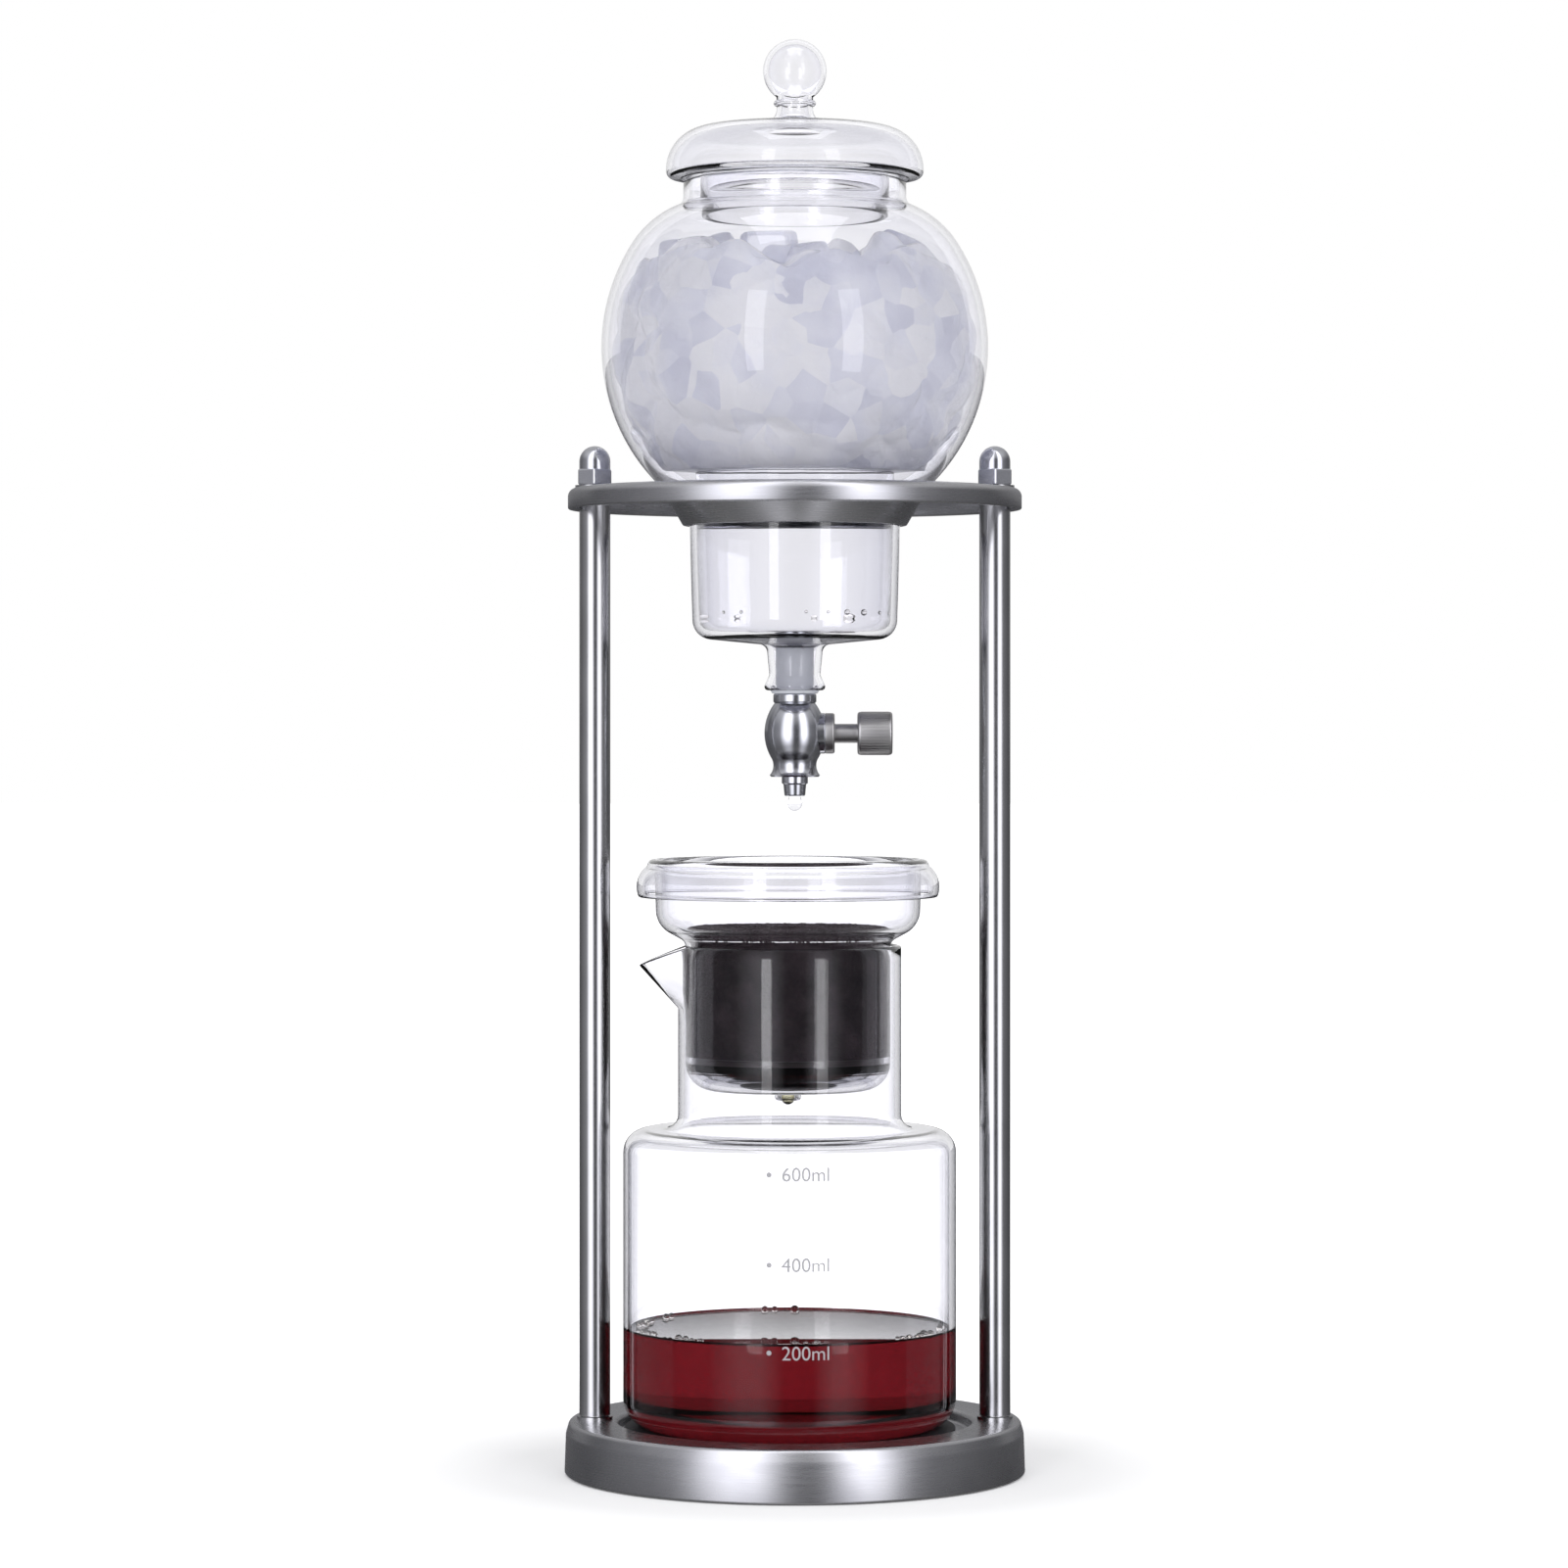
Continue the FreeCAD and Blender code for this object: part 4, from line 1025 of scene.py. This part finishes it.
# A ball with creased sides, a lumpy top and a flat foot
def iceMassTree():
    tree, start, end = newTree("iceMass", [
        ("Radius", "NodeSocketFloat", 0.056), ("Centre", "NodeSocketFloat", 0.344),
        ("Foot", "NodeSocketFloat", 0.306), ("Top", "NodeSocketFloat", 0.366),
        ("LumpHeight", "NodeSocketFloat", 0.012), ("Crease", "NodeSocketFloat", 0.003),
        ("Ripple", "NodeSocketFloat", 0.001), ("Material", "NodeSocketMaterial", None)])
    ball = addNode(tree, "GeometryNodeMeshUVSphere",
                   {"Segments": 256, "Rings": 190, "Radius": start.outputs["Radius"]})
    place = placeOf(tree)
    cells = voronoi(tree, place, ice["lumpSize"])
    dent = maths(tree, "MULTIPLY", maths(tree, "POWER", cells.outputs["Distance"], 2.0),
                 start.outputs["Crease"])
    ripple = maths(tree, "MULTIPLY", noiseTexture(tree, place, 1 / mm(ice["rippleSize"])),
                   start.outputs["Ripple"])
    inward = scaled(tree, vectors(tree, "NORMALIZE", place),
                    maths(tree, "MULTIPLY", maths(tree, "ADD", dent, ripple), -1.0))
    lift = joinVector(tree, 0, 0, start.outputs["Centre"])
    raised = vectors(tree, "ADD", vectors(tree, "ADD", place, inward), lift)
    x, y, z = splitVector(tree, raised)
    tops = voronoi(tree, joinVector(tree, x, y), ice["lumpSize"] * ice["topLumpShare"],
                   "SMOOTH_F1")
    lumpTone = splitVector(tree, tops.outputs["Color"])[0]
    hollow = maths(tree, "MULTIPLY", maths(tree, "POWER", tops.outputs["Distance"], 2.0),
                   ice["topHollow"])
    bulge = maths(tree, "MULTIPLY", maths(tree, "SUBTRACT", lumpTone, hollow),
                  start.outputs["LumpHeight"])
    level = maths(tree, "ADD", start.outputs["Top"], bulge)
    height = maths(tree, "MAXIMUM", maths(tree, "MINIMUM", z, level), start.outputs["Foot"])
    move = addNode(tree, "GeometryNodeSetPosition",
                   {"Geometry": ball.outputs["Mesh"], "Position": joinVector(tree, x, y, height)})
    finishTree(tree, move.outputs["Geometry"], start, end)
    return tree


# Rounded cubes scattered over the mass's top and kept inside the glass
def iceCubeTree():
    tree, start, end = newTree("iceCubes", [
        ("Shell", "NodeSocketFloat", 0.05), ("Spacing", "NodeSocketFloat", 0.012),
        ("Cube", "NodeSocketFloat", 0.015), ("Edge", "NodeSocketFloat", 0.4),
        ("Centre", "NodeSocketFloat", 0.344), ("Low", "NodeSocketFloat", 0.36),
        ("Top", "NodeSocketFloat", 0.37), ("Limit", "NodeSocketFloat", 0.057),
        ("Seed", "NodeSocketInt", 1), ("Material", "NodeSocketMaterial", None)])
    seed = start.outputs["Seed"]
    side = start.outputs["Cube"]
    ball = addNode(tree, "GeometryNodeMeshUVSphere",
                   {"Segments": 48, "Rings": 32, "Radius": start.outputs["Shell"]})
    scatter = addNode(tree, "GeometryNodeDistributePointsOnFaces",
                      {"Mesh": ball.outputs["Mesh"], "Distance Min": start.outputs["Spacing"],
                       "Density Max": ice["cubeDensity"], "Seed": seed},
                      distribute_method="POISSON")
    lift = joinVector(tree, 0, 0, start.outputs["Centre"])
    raised = addNode(tree, "GeometryNodeSetPosition",
                     {"Geometry": scatter.outputs["Points"], "Offset": lift})
    place = placeOf(tree)
    height = splitVector(tree, place)[2]
    outside = maths(tree, "MAXIMUM", maths(tree, "GREATER_THAN", height, start.outputs["Top"]),
                    maths(tree, "LESS_THAN", height, start.outputs["Low"]))
    clear = addNode(tree, "GeometryNodeDeleteGeometry",
                    {"Geometry": raised.outputs["Geometry"], "Selection": outside})
    cube = addNode(tree, "GeometryNodeMeshCube", {"Size": joinVector(tree, side, side, side)})
    smooth = addNode(tree, "GeometryNodeSubdivisionSurface",
                     {"Mesh": cube.outputs["Mesh"], "Level": 4,
                      "Edge Crease": start.outputs["Edge"]})
    cubes = repeatShape(tree, clear.outputs["Geometry"], smooth.outputs["Mesh"],
                        Rotation=randomValue(tree, noTurn, fullTurn, seed),
                        Scale=randomValue(tree, ice["cubeSmall"], ice["cubeLarge"], seed))
    fromCentre = vectors(tree, "SUBTRACT", place, lift)
    reach = maths(tree, "MINIMUM", vectors(tree, "LENGTH", fromCentre), start.outputs["Limit"])
    kept = scaled(tree, vectors(tree, "NORMALIZE", fromCentre), reach)
    pressed = addNode(tree, "GeometryNodeSetPosition",
                      {"Geometry": cubes, "Position": vectors(tree, "ADD", kept, lift)})
    finishTree(tree, pressed.outputs["Geometry"], start, end)
    return tree


def makeIce():
    mass = applyTree(outlineObject([(0, 0)]), iceMassTree(), "IceMass",
                     Radius=mm(ice["radius"]), Centre=mm(globeCentre), Foot=mm(ice["foot"]),
                     Top=mm(ice["top"]), LumpHeight=mm(ice["lumpHeight"]),
                     Crease=mm(ice["crease"]), Ripple=mm(ice["ripple"]),
                     Material=materials["ice"])
    settle(mass, 70)
    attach(mass, "vessel")
    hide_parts("ice_mass")
    cubes = applyTree(outlineObject([(0, 0)]), iceCubeTree(), "IceCubes",
                      Shell=mm(ice["cubeShell"]), Spacing=mm(ice["cubeSpacing"]),
                      Cube=mm(ice["cube"]), Edge=ice["cubeEdge"], Centre=mm(globeCentre),
                      Low=mm(ice["cubeLow"]), Top=mm(ice["cubeTop"]), Limit=mm(ice["cubeLimit"]),
                      Seed=ice["cubeSeed"], Material=materials["clearIce"])
    settle(cubes, 60)
    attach(cubes, "vessel")


water = {"gap": -0.05, "top": 306.3, "topRound": 0.5, "floorRadius": 6.5, "floorRound": 1.0}


def makeWater():
    foot = outletLip + globe["outletLength"]
    wall = globe["wall"] + water["gap"]
    points = solidOutline([
        (0, foot + wall), (water["floorRadius"], foot + wall, water["floorRound"]),
        (globe["throatFootRadius"] - wall, foot + globe["throatFootFall"] + wall,
         globe["throatFootRound"] - wall),
        (globe["throatRadius"] - wall, water["top"], water["topRound"]), (0, water["top"])], 10)
    turn("ThroatWater", points, "water", "vessel", segments=144, sharpAngle=60)


drops = {"nozzleRadius": 2.3, "nozzleFall": 4.6, "neckRadius": 1.9, "neckFall": 0.9,
         "mouthRadius": 1.7, "mouthGap": 0.02, "nubRadius": 2.1, "nubFall": 1.7, "nubRise": 2.2}


def makeDrops():
    radius = drops["nozzleRadius"]
    low = nozzleTip - drops["nozzleFall"]
    points = arcPoints((0, low + radius), radius, -90, 20, 14)
    mouth = nozzleTip - drops["mouthGap"]
    points += [(drops["neckRadius"], nozzleTip - drops["neckFall"]),
               (drops["mouthRadius"], mouth), (0, mouth)]
    turn("NozzleDrop", points, "water", "vessel", segments=48)
    radius = drops["nubRadius"]
    nub = lowOf("brew_cup")
    points = arcPoints((0, nub - drops["nubFall"] + radius), radius, -90, -10, 12)
    points += [(drops["neckRadius"], nub + drops["nubRise"]), (0, nub + drops["nubRise"])]
    turn("CupDrop", points, "paleDrop", "brewer", shift=cupShift, segments=48)


makeIce()
makeWater()
makeDrops()
print("ice and water made")

# Coffee grounds, heaped to just above the cup's shoulder, with a hollow under the drip
groundsHeap = {"top": 164.2, "floorGap": 0.15, "wallGap": -0.06, "flare": 2.0, "edge": 0.5,
               "spread": 31.2, "hollowRadius": 7.5, "hollowFoot": 4.6, "hollowDepth": 10.6,
               "hollowCurve": 0.8, "step": 0.7, "roughReach": 29.8, "rough": 0.45,
               "roughScales": (1100, 300), "density": 560000.0, "grain": 0.42, "grainDepth": 1.4,
               "grainSmall": (0.5, 0.5, 0.5), "grainLarge": (1.5, 1.3, 1.1), "seed": 3,
               "screenGap": 0.05}


# Coarse grains scattered over the heap's top, clear of the glass
def grainTree():
    tree, start, end = newTree("groundsGrains", [
        ("Density", "NodeSocketFloat", 100000.0), ("Grain", "NodeSocketFloat", 0.0004),
        ("Level", "NodeSocketFloat", 0.16), ("Reach", "NodeSocketFloat", 0.03),
        ("Middle", "NodeSocketVector", None), ("Seed", "NodeSocketInt", 1),
        ("Material", "NodeSocketMaterial", None)])
    place = placeOf(tree)
    above = maths(tree, "GREATER_THAN", splitVector(tree, place)[2], start.outputs["Level"])
    flat = vectors(tree, "MULTIPLY", vectors(tree, "SUBTRACT", place, start.outputs["Middle"]),
                   (1, 1, 0))
    near = maths(tree, "LESS_THAN", vectors(tree, "LENGTH", flat), start.outputs["Reach"])
    scatter = addNode(tree, "GeometryNodeDistributePointsOnFaces",
                      {"Mesh": start.outputs["Geometry"],
                       "Selection": maths(tree, "MULTIPLY", above, near),
                       "Density": start.outputs["Density"], "Seed": start.outputs["Seed"]})
    grain = addNode(tree, "GeometryNodeMeshIcoSphere",
                    {"Subdivisions": 1, "Radius": start.outputs["Grain"]})
    size = randomValue(tree, groundsHeap["grainSmall"], groundsHeap["grainLarge"])
    grains = repeatShape(tree, scatter.outputs["Points"], grain.outputs["Mesh"],
                         Rotation=randomValue(tree, noTurn, fullTurn), Scale=size)
    finishTree(tree, grains, start, end)
    return tree


# How far the heap's top falls at a distance from the drip's line
def hollowDrop(distance):
    heap = groundsHeap
    if distance >= heap["hollowRadius"]:
        return 0
    if distance <= heap["hollowFoot"]:
        return heap["hollowDepth"]
    share = (heap["hollowRadius"] - distance) / (heap["hollowRadius"] - heap["hollowFoot"])
    return heap["hollowDepth"] * share ** heap["hollowCurve"]


def makeGrounds():
    heap = groundsHeap
    bore = cup["radius"] - cup["wall"] - heap["wallGap"]
    floor = topOf("filter_gasket") + heap["floorGap"]
    top = heap["top"]
    points = [(0, floor), (bore, floor), (bore, top - heap["flare"]),
              (heap["spread"] - heap["edge"], top - heap["edge"]), (heap["spread"], top)]
    count = int(heap["spread"] / heap["step"])
    points += [(heap["spread"] * (1 - step / count), top) for step in range(1, count + 1)]
    piece = turn("Grounds", points, "grounds", "brewer", shift=cupShift, segments=220,
                 sharpAngle=80, replaces=["coffee_grounds"])
    for vert in piece.data.vertices:
        place = vert.co * 1000
        if place.z < top - 0.01:
            continue
        if math.hypot(place.x - cupShift, place.y) < heap["roughReach"]:
            rough = sum(noise.noise(vert.co * scale) for scale in heap["roughScales"])
            vert.co.z += mm(rough * heap["rough"] - hollowDrop(math.hypot(place.x, place.y)))
    carrier = piece.copy()
    scene.collection.objects.link(carrier)
    grains = applyTree(carrier, grainTree(), "GroundsGrains", Density=heap["density"],
                       Grain=mm(heap["grain"]), Level=mm(top - heap["grainDepth"]),
                       Reach=mm(heap["roughReach"]),
                       Middle=(mm(cupShift), 0, 0), Seed=heap["seed"],
                       Material=materials["grounds"])
    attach(grains, "brewer")
    lowFloor = cupBottom + cup["wall"] + heap["wallGap"]
    screenLow = lowOf("filter_gasket") - heap["screenGap"]
    soaked = solidOutline([
        (0, lowFloor), (bore, lowFloor, cup["footRound"] - cup["wall"] - heap["wallGap"]),
        (bore, screenLow), (0, screenLow)], 8)
    turn("SoakedCoffee", soaked, "darkCoffee", "brewer", shift=cupShift, segments=144)


makeGrounds()
print("grounds made")

# Coffee with its bubbles, and the printed marks
coffee = {"gap": -0.08, "level": 43.9, "rise": 0.9, "rimWidth": 0.6, "rimRise": 0.25,
          "edgeWidth": 2.0}


def makeCoffee():
    inner = carafe["radius"] - carafe["wall"] - coffee["gap"]
    foot = carafeFoot + carafe["wall"] + coffee["gap"]
    points = solidOutline([
        (0, foot), (inner, foot, carafe["footRound"] - carafe["wall"]),
        (inner, coffee["level"] + coffee["rise"]),
        (inner - coffee["rimWidth"], coffee["level"] + coffee["rimRise"]),
        (inner - coffee["edgeWidth"], coffee["level"]), (0, coffee["level"])], 12)
    turn("Coffee", points, "coffee", "carafe", shift=carafeShift, segments=192, sharpAngle=60)


# Bubbles of mixed sizes along a ring, more of them where the noise is high
clumpScale = 42.0
smallestBubble = 0.35


def bubbleTree():
    tree, start, end = newTree("bubbleRing", [
        ("Count", "NodeSocketInt", 80), ("Radius", "NodeSocketFloat", 0.048),
        ("Bubble", "NodeSocketFloat", 0.001), ("Stray", "NodeSocketFloat", 0.002),
        ("Keep", "NodeSocketFloat", 0.5), ("Seed", "NodeSocketInt", 1),
        ("Material", "NodeSocketMaterial", None)])
    seed = start.outputs["Seed"]
    circle = addNode(tree, "GeometryNodeMeshCircle",
                     {"Vertices": start.outputs["Count"], "Radius": start.outputs["Radius"]})
    points = addNode(tree, "GeometryNodeMeshToPoints", {"Mesh": circle.outputs["Mesh"]})
    place = placeOf(tree)
    sparse = maths(tree, "LESS_THAN", noiseTexture(tree, place, clumpScale),
                   start.outputs["Keep"])
    thin = addNode(tree, "GeometryNodeDeleteGeometry",
                   {"Geometry": points.outputs["Points"], "Selection": sparse})
    stray = maths(tree, "MULTIPLY", randomValue(tree, 0.0, 1.0, seed), -1.0)
    inward = scaled(tree, vectors(tree, "NORMALIZE", place),
                    maths(tree, "MULTIPLY", stray, start.outputs["Stray"]))
    move = addNode(tree, "GeometryNodeSetPosition",
                   {"Geometry": thin.outputs["Geometry"], "Offset": inward})
    ball = addNode(tree, "GeometryNodeMeshUVSphere",
                   {"Segments": 16, "Rings": 10, "Radius": start.outputs["Bubble"]})
    balls = repeatShape(tree, move.outputs["Geometry"], ball.outputs["Mesh"],
                        Scale=randomValue(tree, smallestBubble, 1.0, seed))
    finishTree(tree, balls, start, end)
    return tree


bubbleRing = bubbleTree()
carafeBore = carafe["radius"] - carafe["wall"]
throatBore = globe["throatFootRadius"] - globe["wall"]
bubbles = {
    "CoffeeBubbles": {"body": "carafe", "shift": carafeShift, "bore": carafeBore, "setIn": 1.6,
                      "level": coffee["level"], "rise": 0.7, "size": 1.35, "count": 90, "seed": 5,
                      "keep": 0.5, "stray": 2.5},
    "CoffeeFroth": {"body": "carafe", "shift": carafeShift, "bore": carafeBore, "setIn": 1.0,
                    "level": coffee["level"], "rise": 0.5, "size": 0.7, "count": 270, "seed": 6,
                    "keep": 0.52, "stray": 4.0},
    "WaterBubbles": {"body": "vessel", "shift": 0.0, "bore": throatBore, "setIn": 1.6,
                     "level": 263.0, "rise": 0.0, "size": 1.2, "count": 26, "seed": 4,
                     "keep": 0.45, "stray": 2.0},
}


def makeBubbles(name, ring):
    piece = applyTree(outlineObject([(0, 0)]), bubbleRing, name, Count=ring["count"],
                      Radius=mm(ring["bore"] - ring["setIn"]), Bubble=mm(ring["size"]),
                      Stray=mm(ring["stray"]), Keep=ring["keep"], Seed=ring["seed"],
                      Material=materials["bubble"])
    height = ring["level"] + ring["rise"]
    piece.data.transform(Matrix.Translation((mm(ring["shift"]), 0, mm(height))))
    settle(piece)
    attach(piece, ring["body"])


makeCoffee()
for name, ring in bubbles.items():
    makeBubbles(name, ring)

marks = {"texts": (("600ml", 95.2), ("400ml", 68.4), ("200ml", 42.3)), "start": -6.1,
         "textStart": -2.4, "size": 5.9, "dot": 0.75, "dotSides": 24, "lift": 0.1}


def wrapOnCarafe(mesh, left, height):
    reach = carafe["radius"] + marks["lift"]
    for vert in mesh.vertices:
        angle = (left + vert.co.x) / reach
        vert.co = Vector((mm(reach * math.sin(angle) + carafeShift),
                          -mm(reach * math.cos(angle)), mm(height + vert.co.y)))


def makeMark(text, height):
    curve = bpy.data.curves.new("mark" + text, "FONT")
    curve.body = text
    curve.size = marks["size"]
    curve.resolution_u = 6
    source = addObject("mark" + text, curve)
    mesh = bpy.data.meshes.new_from_object(
        source.evaluated_get(bpy.context.evaluated_depsgraph_get()))
    bpy.data.objects.remove(source)
    middle = sum((vert.co.y for vert in mesh.vertices)) / len(mesh.vertices)
    for vert in mesh.vertices:
        vert.co.y -= middle
    wrapOnCarafe(mesh, marks["textStart"], height)
    dotMesh = bpy.data.meshes.new("Dot" + text)
    sides = marks["dotSides"]
    ring = arcPoints((0, 0), marks["dot"], 0, 360, sides)[:-1]
    dotMesh.from_pydata([(x, y, 0) for x, y in ring], [], [tuple(range(sides))])
    wrapOnCarafe(dotMesh, marks["start"], height)
    for piece in (addObject("Mark" + text, mesh), addObject("Dot" + text, dotMesh)):
        piece.data.materials.clear()
        piece.data.materials.append(materials["ink"])
        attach(piece, "carafe")


for text, height in marks["texts"]:
    makeMark(text, height)
print("coffee and marks made")

# Plain frame pieces keep their shape and get their finish
plainFinish = {
    "ballast_plate": "rawSteel", "foot_pad": "footRubber", "post_foot_washers": "postSteel",
    "post_spacers": "rawSteel", "post_screws": "rawSteel", "post_lock_washers": "rawSteel",
    "top_studs": "rawSteel", "top_washers": "postSteel", "valve_inlet_tube": "rawSteel",
    "valve_seat": "plastic", "packing_seal": "footRubber", "valve_spindle": "satinMetal",
    "knob_set_screw": "rawSteel", "filter_gasket": "stainedSilicone", "filter_screen": "brushedSteel",
}
for name, finish in plainFinish.items():
    nodes[name].data.materials.clear()
    nodes[name].data.materials.append(materials[finish])

# Floor, backdrop and light
ground = {"reach": 12.0, "drop": 0.0002, "near": 0.09, "far": 0.26, "nearGlow": 0.06,
          "farGlow": 0.6}


def mixShaders(tree, chosen, first, second):
    return addNode(tree, "ShaderNodeMixShader", {0: chosen, 1: first, 2: second}).outputs[0]


def background(tree, colour, strength=1.0):
    return addNode(tree, "ShaderNodeBackground",
                   {"Color": colour, "Strength": strength}).outputs[0]


def makeFloor():
    size = ground["reach"]
    mesh = bpy.data.meshes.new("Floor")
    mesh.from_pydata([(-size, -size, 0), (size, -size, 0), (size, size, 0), (-size, size, 0)],
                     [], [(0, 1, 2, 3)])
    floor = addObject("Floor", mesh)
    floor.location.z = -ground["drop"]
    floor.visible_glossy = False
    material, tree, shader = newMaterial("floorWhite")
    path = addNode(tree, "ShaderNodeLightPath").outputs
    coords = addNode(tree, "ShaderNodeTexCoord")
    seen = maths(tree, "MAXIMUM", path["Is Camera Ray"], path["Is Transmission Ray"])
    glow = spread(tree, vectors(tree, "LENGTH", coords.outputs["Object"]),
                  ground["nearGlow"], ground["farGlow"], ground["near"], ground["far"])
    feed(tree, shader, {
        "Base Color": (0.9, 0.9, 0.9, 1), "Roughness": 0.9, "Specular IOR Level": 0.0,
        "Emission Color": (1, 1, 1, 1), "Emission Strength": maths(tree, "MULTIPLY", seen, glow)})
    mirrored = maths(tree, "GREATER_THAN", path["Glossy Depth"], 0.5)
    hidden = maths(tree, "MULTIPLY", mirrored, path["Is Transmission Ray"])
    clear = addNode(tree, "ShaderNodeBsdfTransparent")
    output = next(node for node in tree.nodes if node.type == "OUTPUT_MATERIAL")
    wire(tree, mixShaders(tree, hidden, shader.outputs[0], clear.outputs[0]),
         output.inputs["Surface"])
    mesh.materials.append(material)


# What shiny faces see, by angle round the tower from the camera, and how bright glass sees the sides
studio = {
    "bands": [(-180, 0.05), (-125, 0.05), (-80, 0.11), (-58, 0.14), (-33, 1.0), (-20, 1.0),
              (-4, 0.05), (16, 0.04), (31, 1.0), (39, 1.0), (58, 0.10), (85, 0.07), (125, 0.04),
              (180, 0.05)],
    "metalBands": 2.2, "glassBands": 0.55, "metalBackdrop": 0.12, "glassBackdrop": 0.9,
    "belowShare": 0.22, "belowHeights": (-0.5, -0.12), "behindFrom": 0.6, "behindAbove": 0.02,
    "blueTint": 1.06, "overhead": 0.7, "glassSides": (0.42, 0.42, 0.44), "softLight": 0.8,
    "softColour": (0.98, 0.98, 1, 1),
    "overheadBands": [(0.0, 0.3), (0.4, 0.0), (0.62, 0.0), (0.85, 0.5), (1.0, 0.5)],
}


def makeWorld():
    world = bpy.data.worlds.new("studio")
    scene.world = world
    world.use_nodes = True
    tree = world.node_tree
    tree.nodes.clear()
    output = addNode(tree, "ShaderNodeOutputWorld")
    path = addNode(tree, "ShaderNodeLightPath").outputs
    coords = addNode(tree, "ShaderNodeTexCoord")
    x, y, z = splitVector(tree, coords.outputs["Generated"])
    white = (1, 1, 1, 1)
    angle = maths(tree, "ARCTAN2", x, maths(tree, "MULTIPLY", y, -1.0))
    turnShare = maths(tree, "ADD", maths(tree, "MULTIPLY", angle, 0.5 / math.pi), 0.5)
    bands = ramp(tree, turnShare, [
        ((degrees + 180) / 360, (value, value, value * studio["blueTint"]))
        for degrees, value in studio["bands"]])
    heightShare = maths(tree, "ADD", maths(tree, "MULTIPLY", z, 0.5), 0.5)
    overhead = ramp(tree, heightShare, [
        (place, (value, value, value)) for place, value in studio["overheadBands"]])
    behind = maths(tree, "MULTIPLY", maths(tree, "GREATER_THAN", y, studio["behindFrom"]),
                   maths(tree, "GREATER_THAN", z, studio["behindAbove"]))
    byGlass = maths(tree, "MAXIMUM", path["Is Singular Ray"], path["Is Transmission Ray"])
    backShare = spread(tree, byGlass, studio["metalBackdrop"], studio["glassBackdrop"])
    backdrop = background(tree, white, maths(tree, "MULTIPLY", behind, backShare))
    below = spread(tree, z, studio["belowShare"], 1.0, *studio["belowHeights"])
    bandShare = spread(tree, byGlass, studio["metalBands"], studio["glassBands"])
    room = background(tree, bands, maths(tree, "MULTIPLY", below, bandShare))
    above = background(tree, overhead, studio["overhead"])
    glossy = addNode(tree, "ShaderNodeAddShader", {0: room, 1: above}).outputs[0]
    mirrored = addNode(tree, "ShaderNodeAddShader", {0: glossy, 1: backdrop}).outputs[0]
    clear = (1, 1, 1)
    side = studio["glassSides"]
    depthShare = maths(tree, "ADD", maths(tree, "MULTIPLY", y, 0.5), 0.5)
    through = background(tree, ramp(tree, depthShare, [
        (0.0, clear), (0.18, clear), (0.38, side), (0.62, side), (0.82, clear), (1.0, clear)]))
    straight = maths(tree, "MAXIMUM", maths(tree, "LESS_THAN", path["Glossy Depth"], 0.5),
                     maths(tree, "GREATER_THAN", y, 0.0))
    throughAll = mixShaders(tree, straight, room, through)
    soft = background(tree, studio["softColour"], studio["softLight"])
    lit = maths(tree, "GREATER_THAN", path["Diffuse Depth"], 0.5)
    last = soft
    for chosen, shader in ((path["Is Glossy Ray"], mirrored),
                           (path["Is Transmission Ray"], throughAll),
                           (path["Is Camera Ray"], background(tree, white)), (lit, soft)):
        last = mixShaders(tree, chosen, last, shader)
    wire(tree, last, output.inputs[0])


softboxes = {
    "keyLeft": {"azimuth": -24, "distance": 1.5, "height": 0.5, "size": (0.3, 1.3), "power": 4.0},
    "keyRight": {"azimuth": 35, "distance": 1.5, "height": 0.5, "size": (0.34, 1.3), "power": 4.0},
}
topLamp = {"size": (0.8, 0.8), "power": 6.0, "place": (0, -0.2, 1.5)}
aimHeight = 0.22


def addLamp(name, lamp):
    data = bpy.data.lights.new(name, "AREA")
    data.shape = "RECTANGLE"
    data.size, data.size_y = lamp["size"]
    data.energy = lamp["power"]
    light = addObject(name, data)
    light.visible_glossy = False
    light.visible_camera = False
    return light


def makeSoftbox(name, lamp):
    light = addLamp(name, lamp)
    angle = math.radians(lamp["azimuth"])
    place = Vector((math.sin(angle), -math.cos(angle), 0)) * lamp["distance"]
    place.z = lamp["height"]
    light.location = place
    aim = Vector((0, 0, aimHeight)) - place
    light.rotation_euler = aim.to_track_quat("-Z", "Y").to_euler()


makeFloor()
makeWorld()
for name, lamp in softboxes.items():
    makeSoftbox(name, lamp)
addLamp("topLight", topLamp).location = topLamp["place"]
print("stage made")
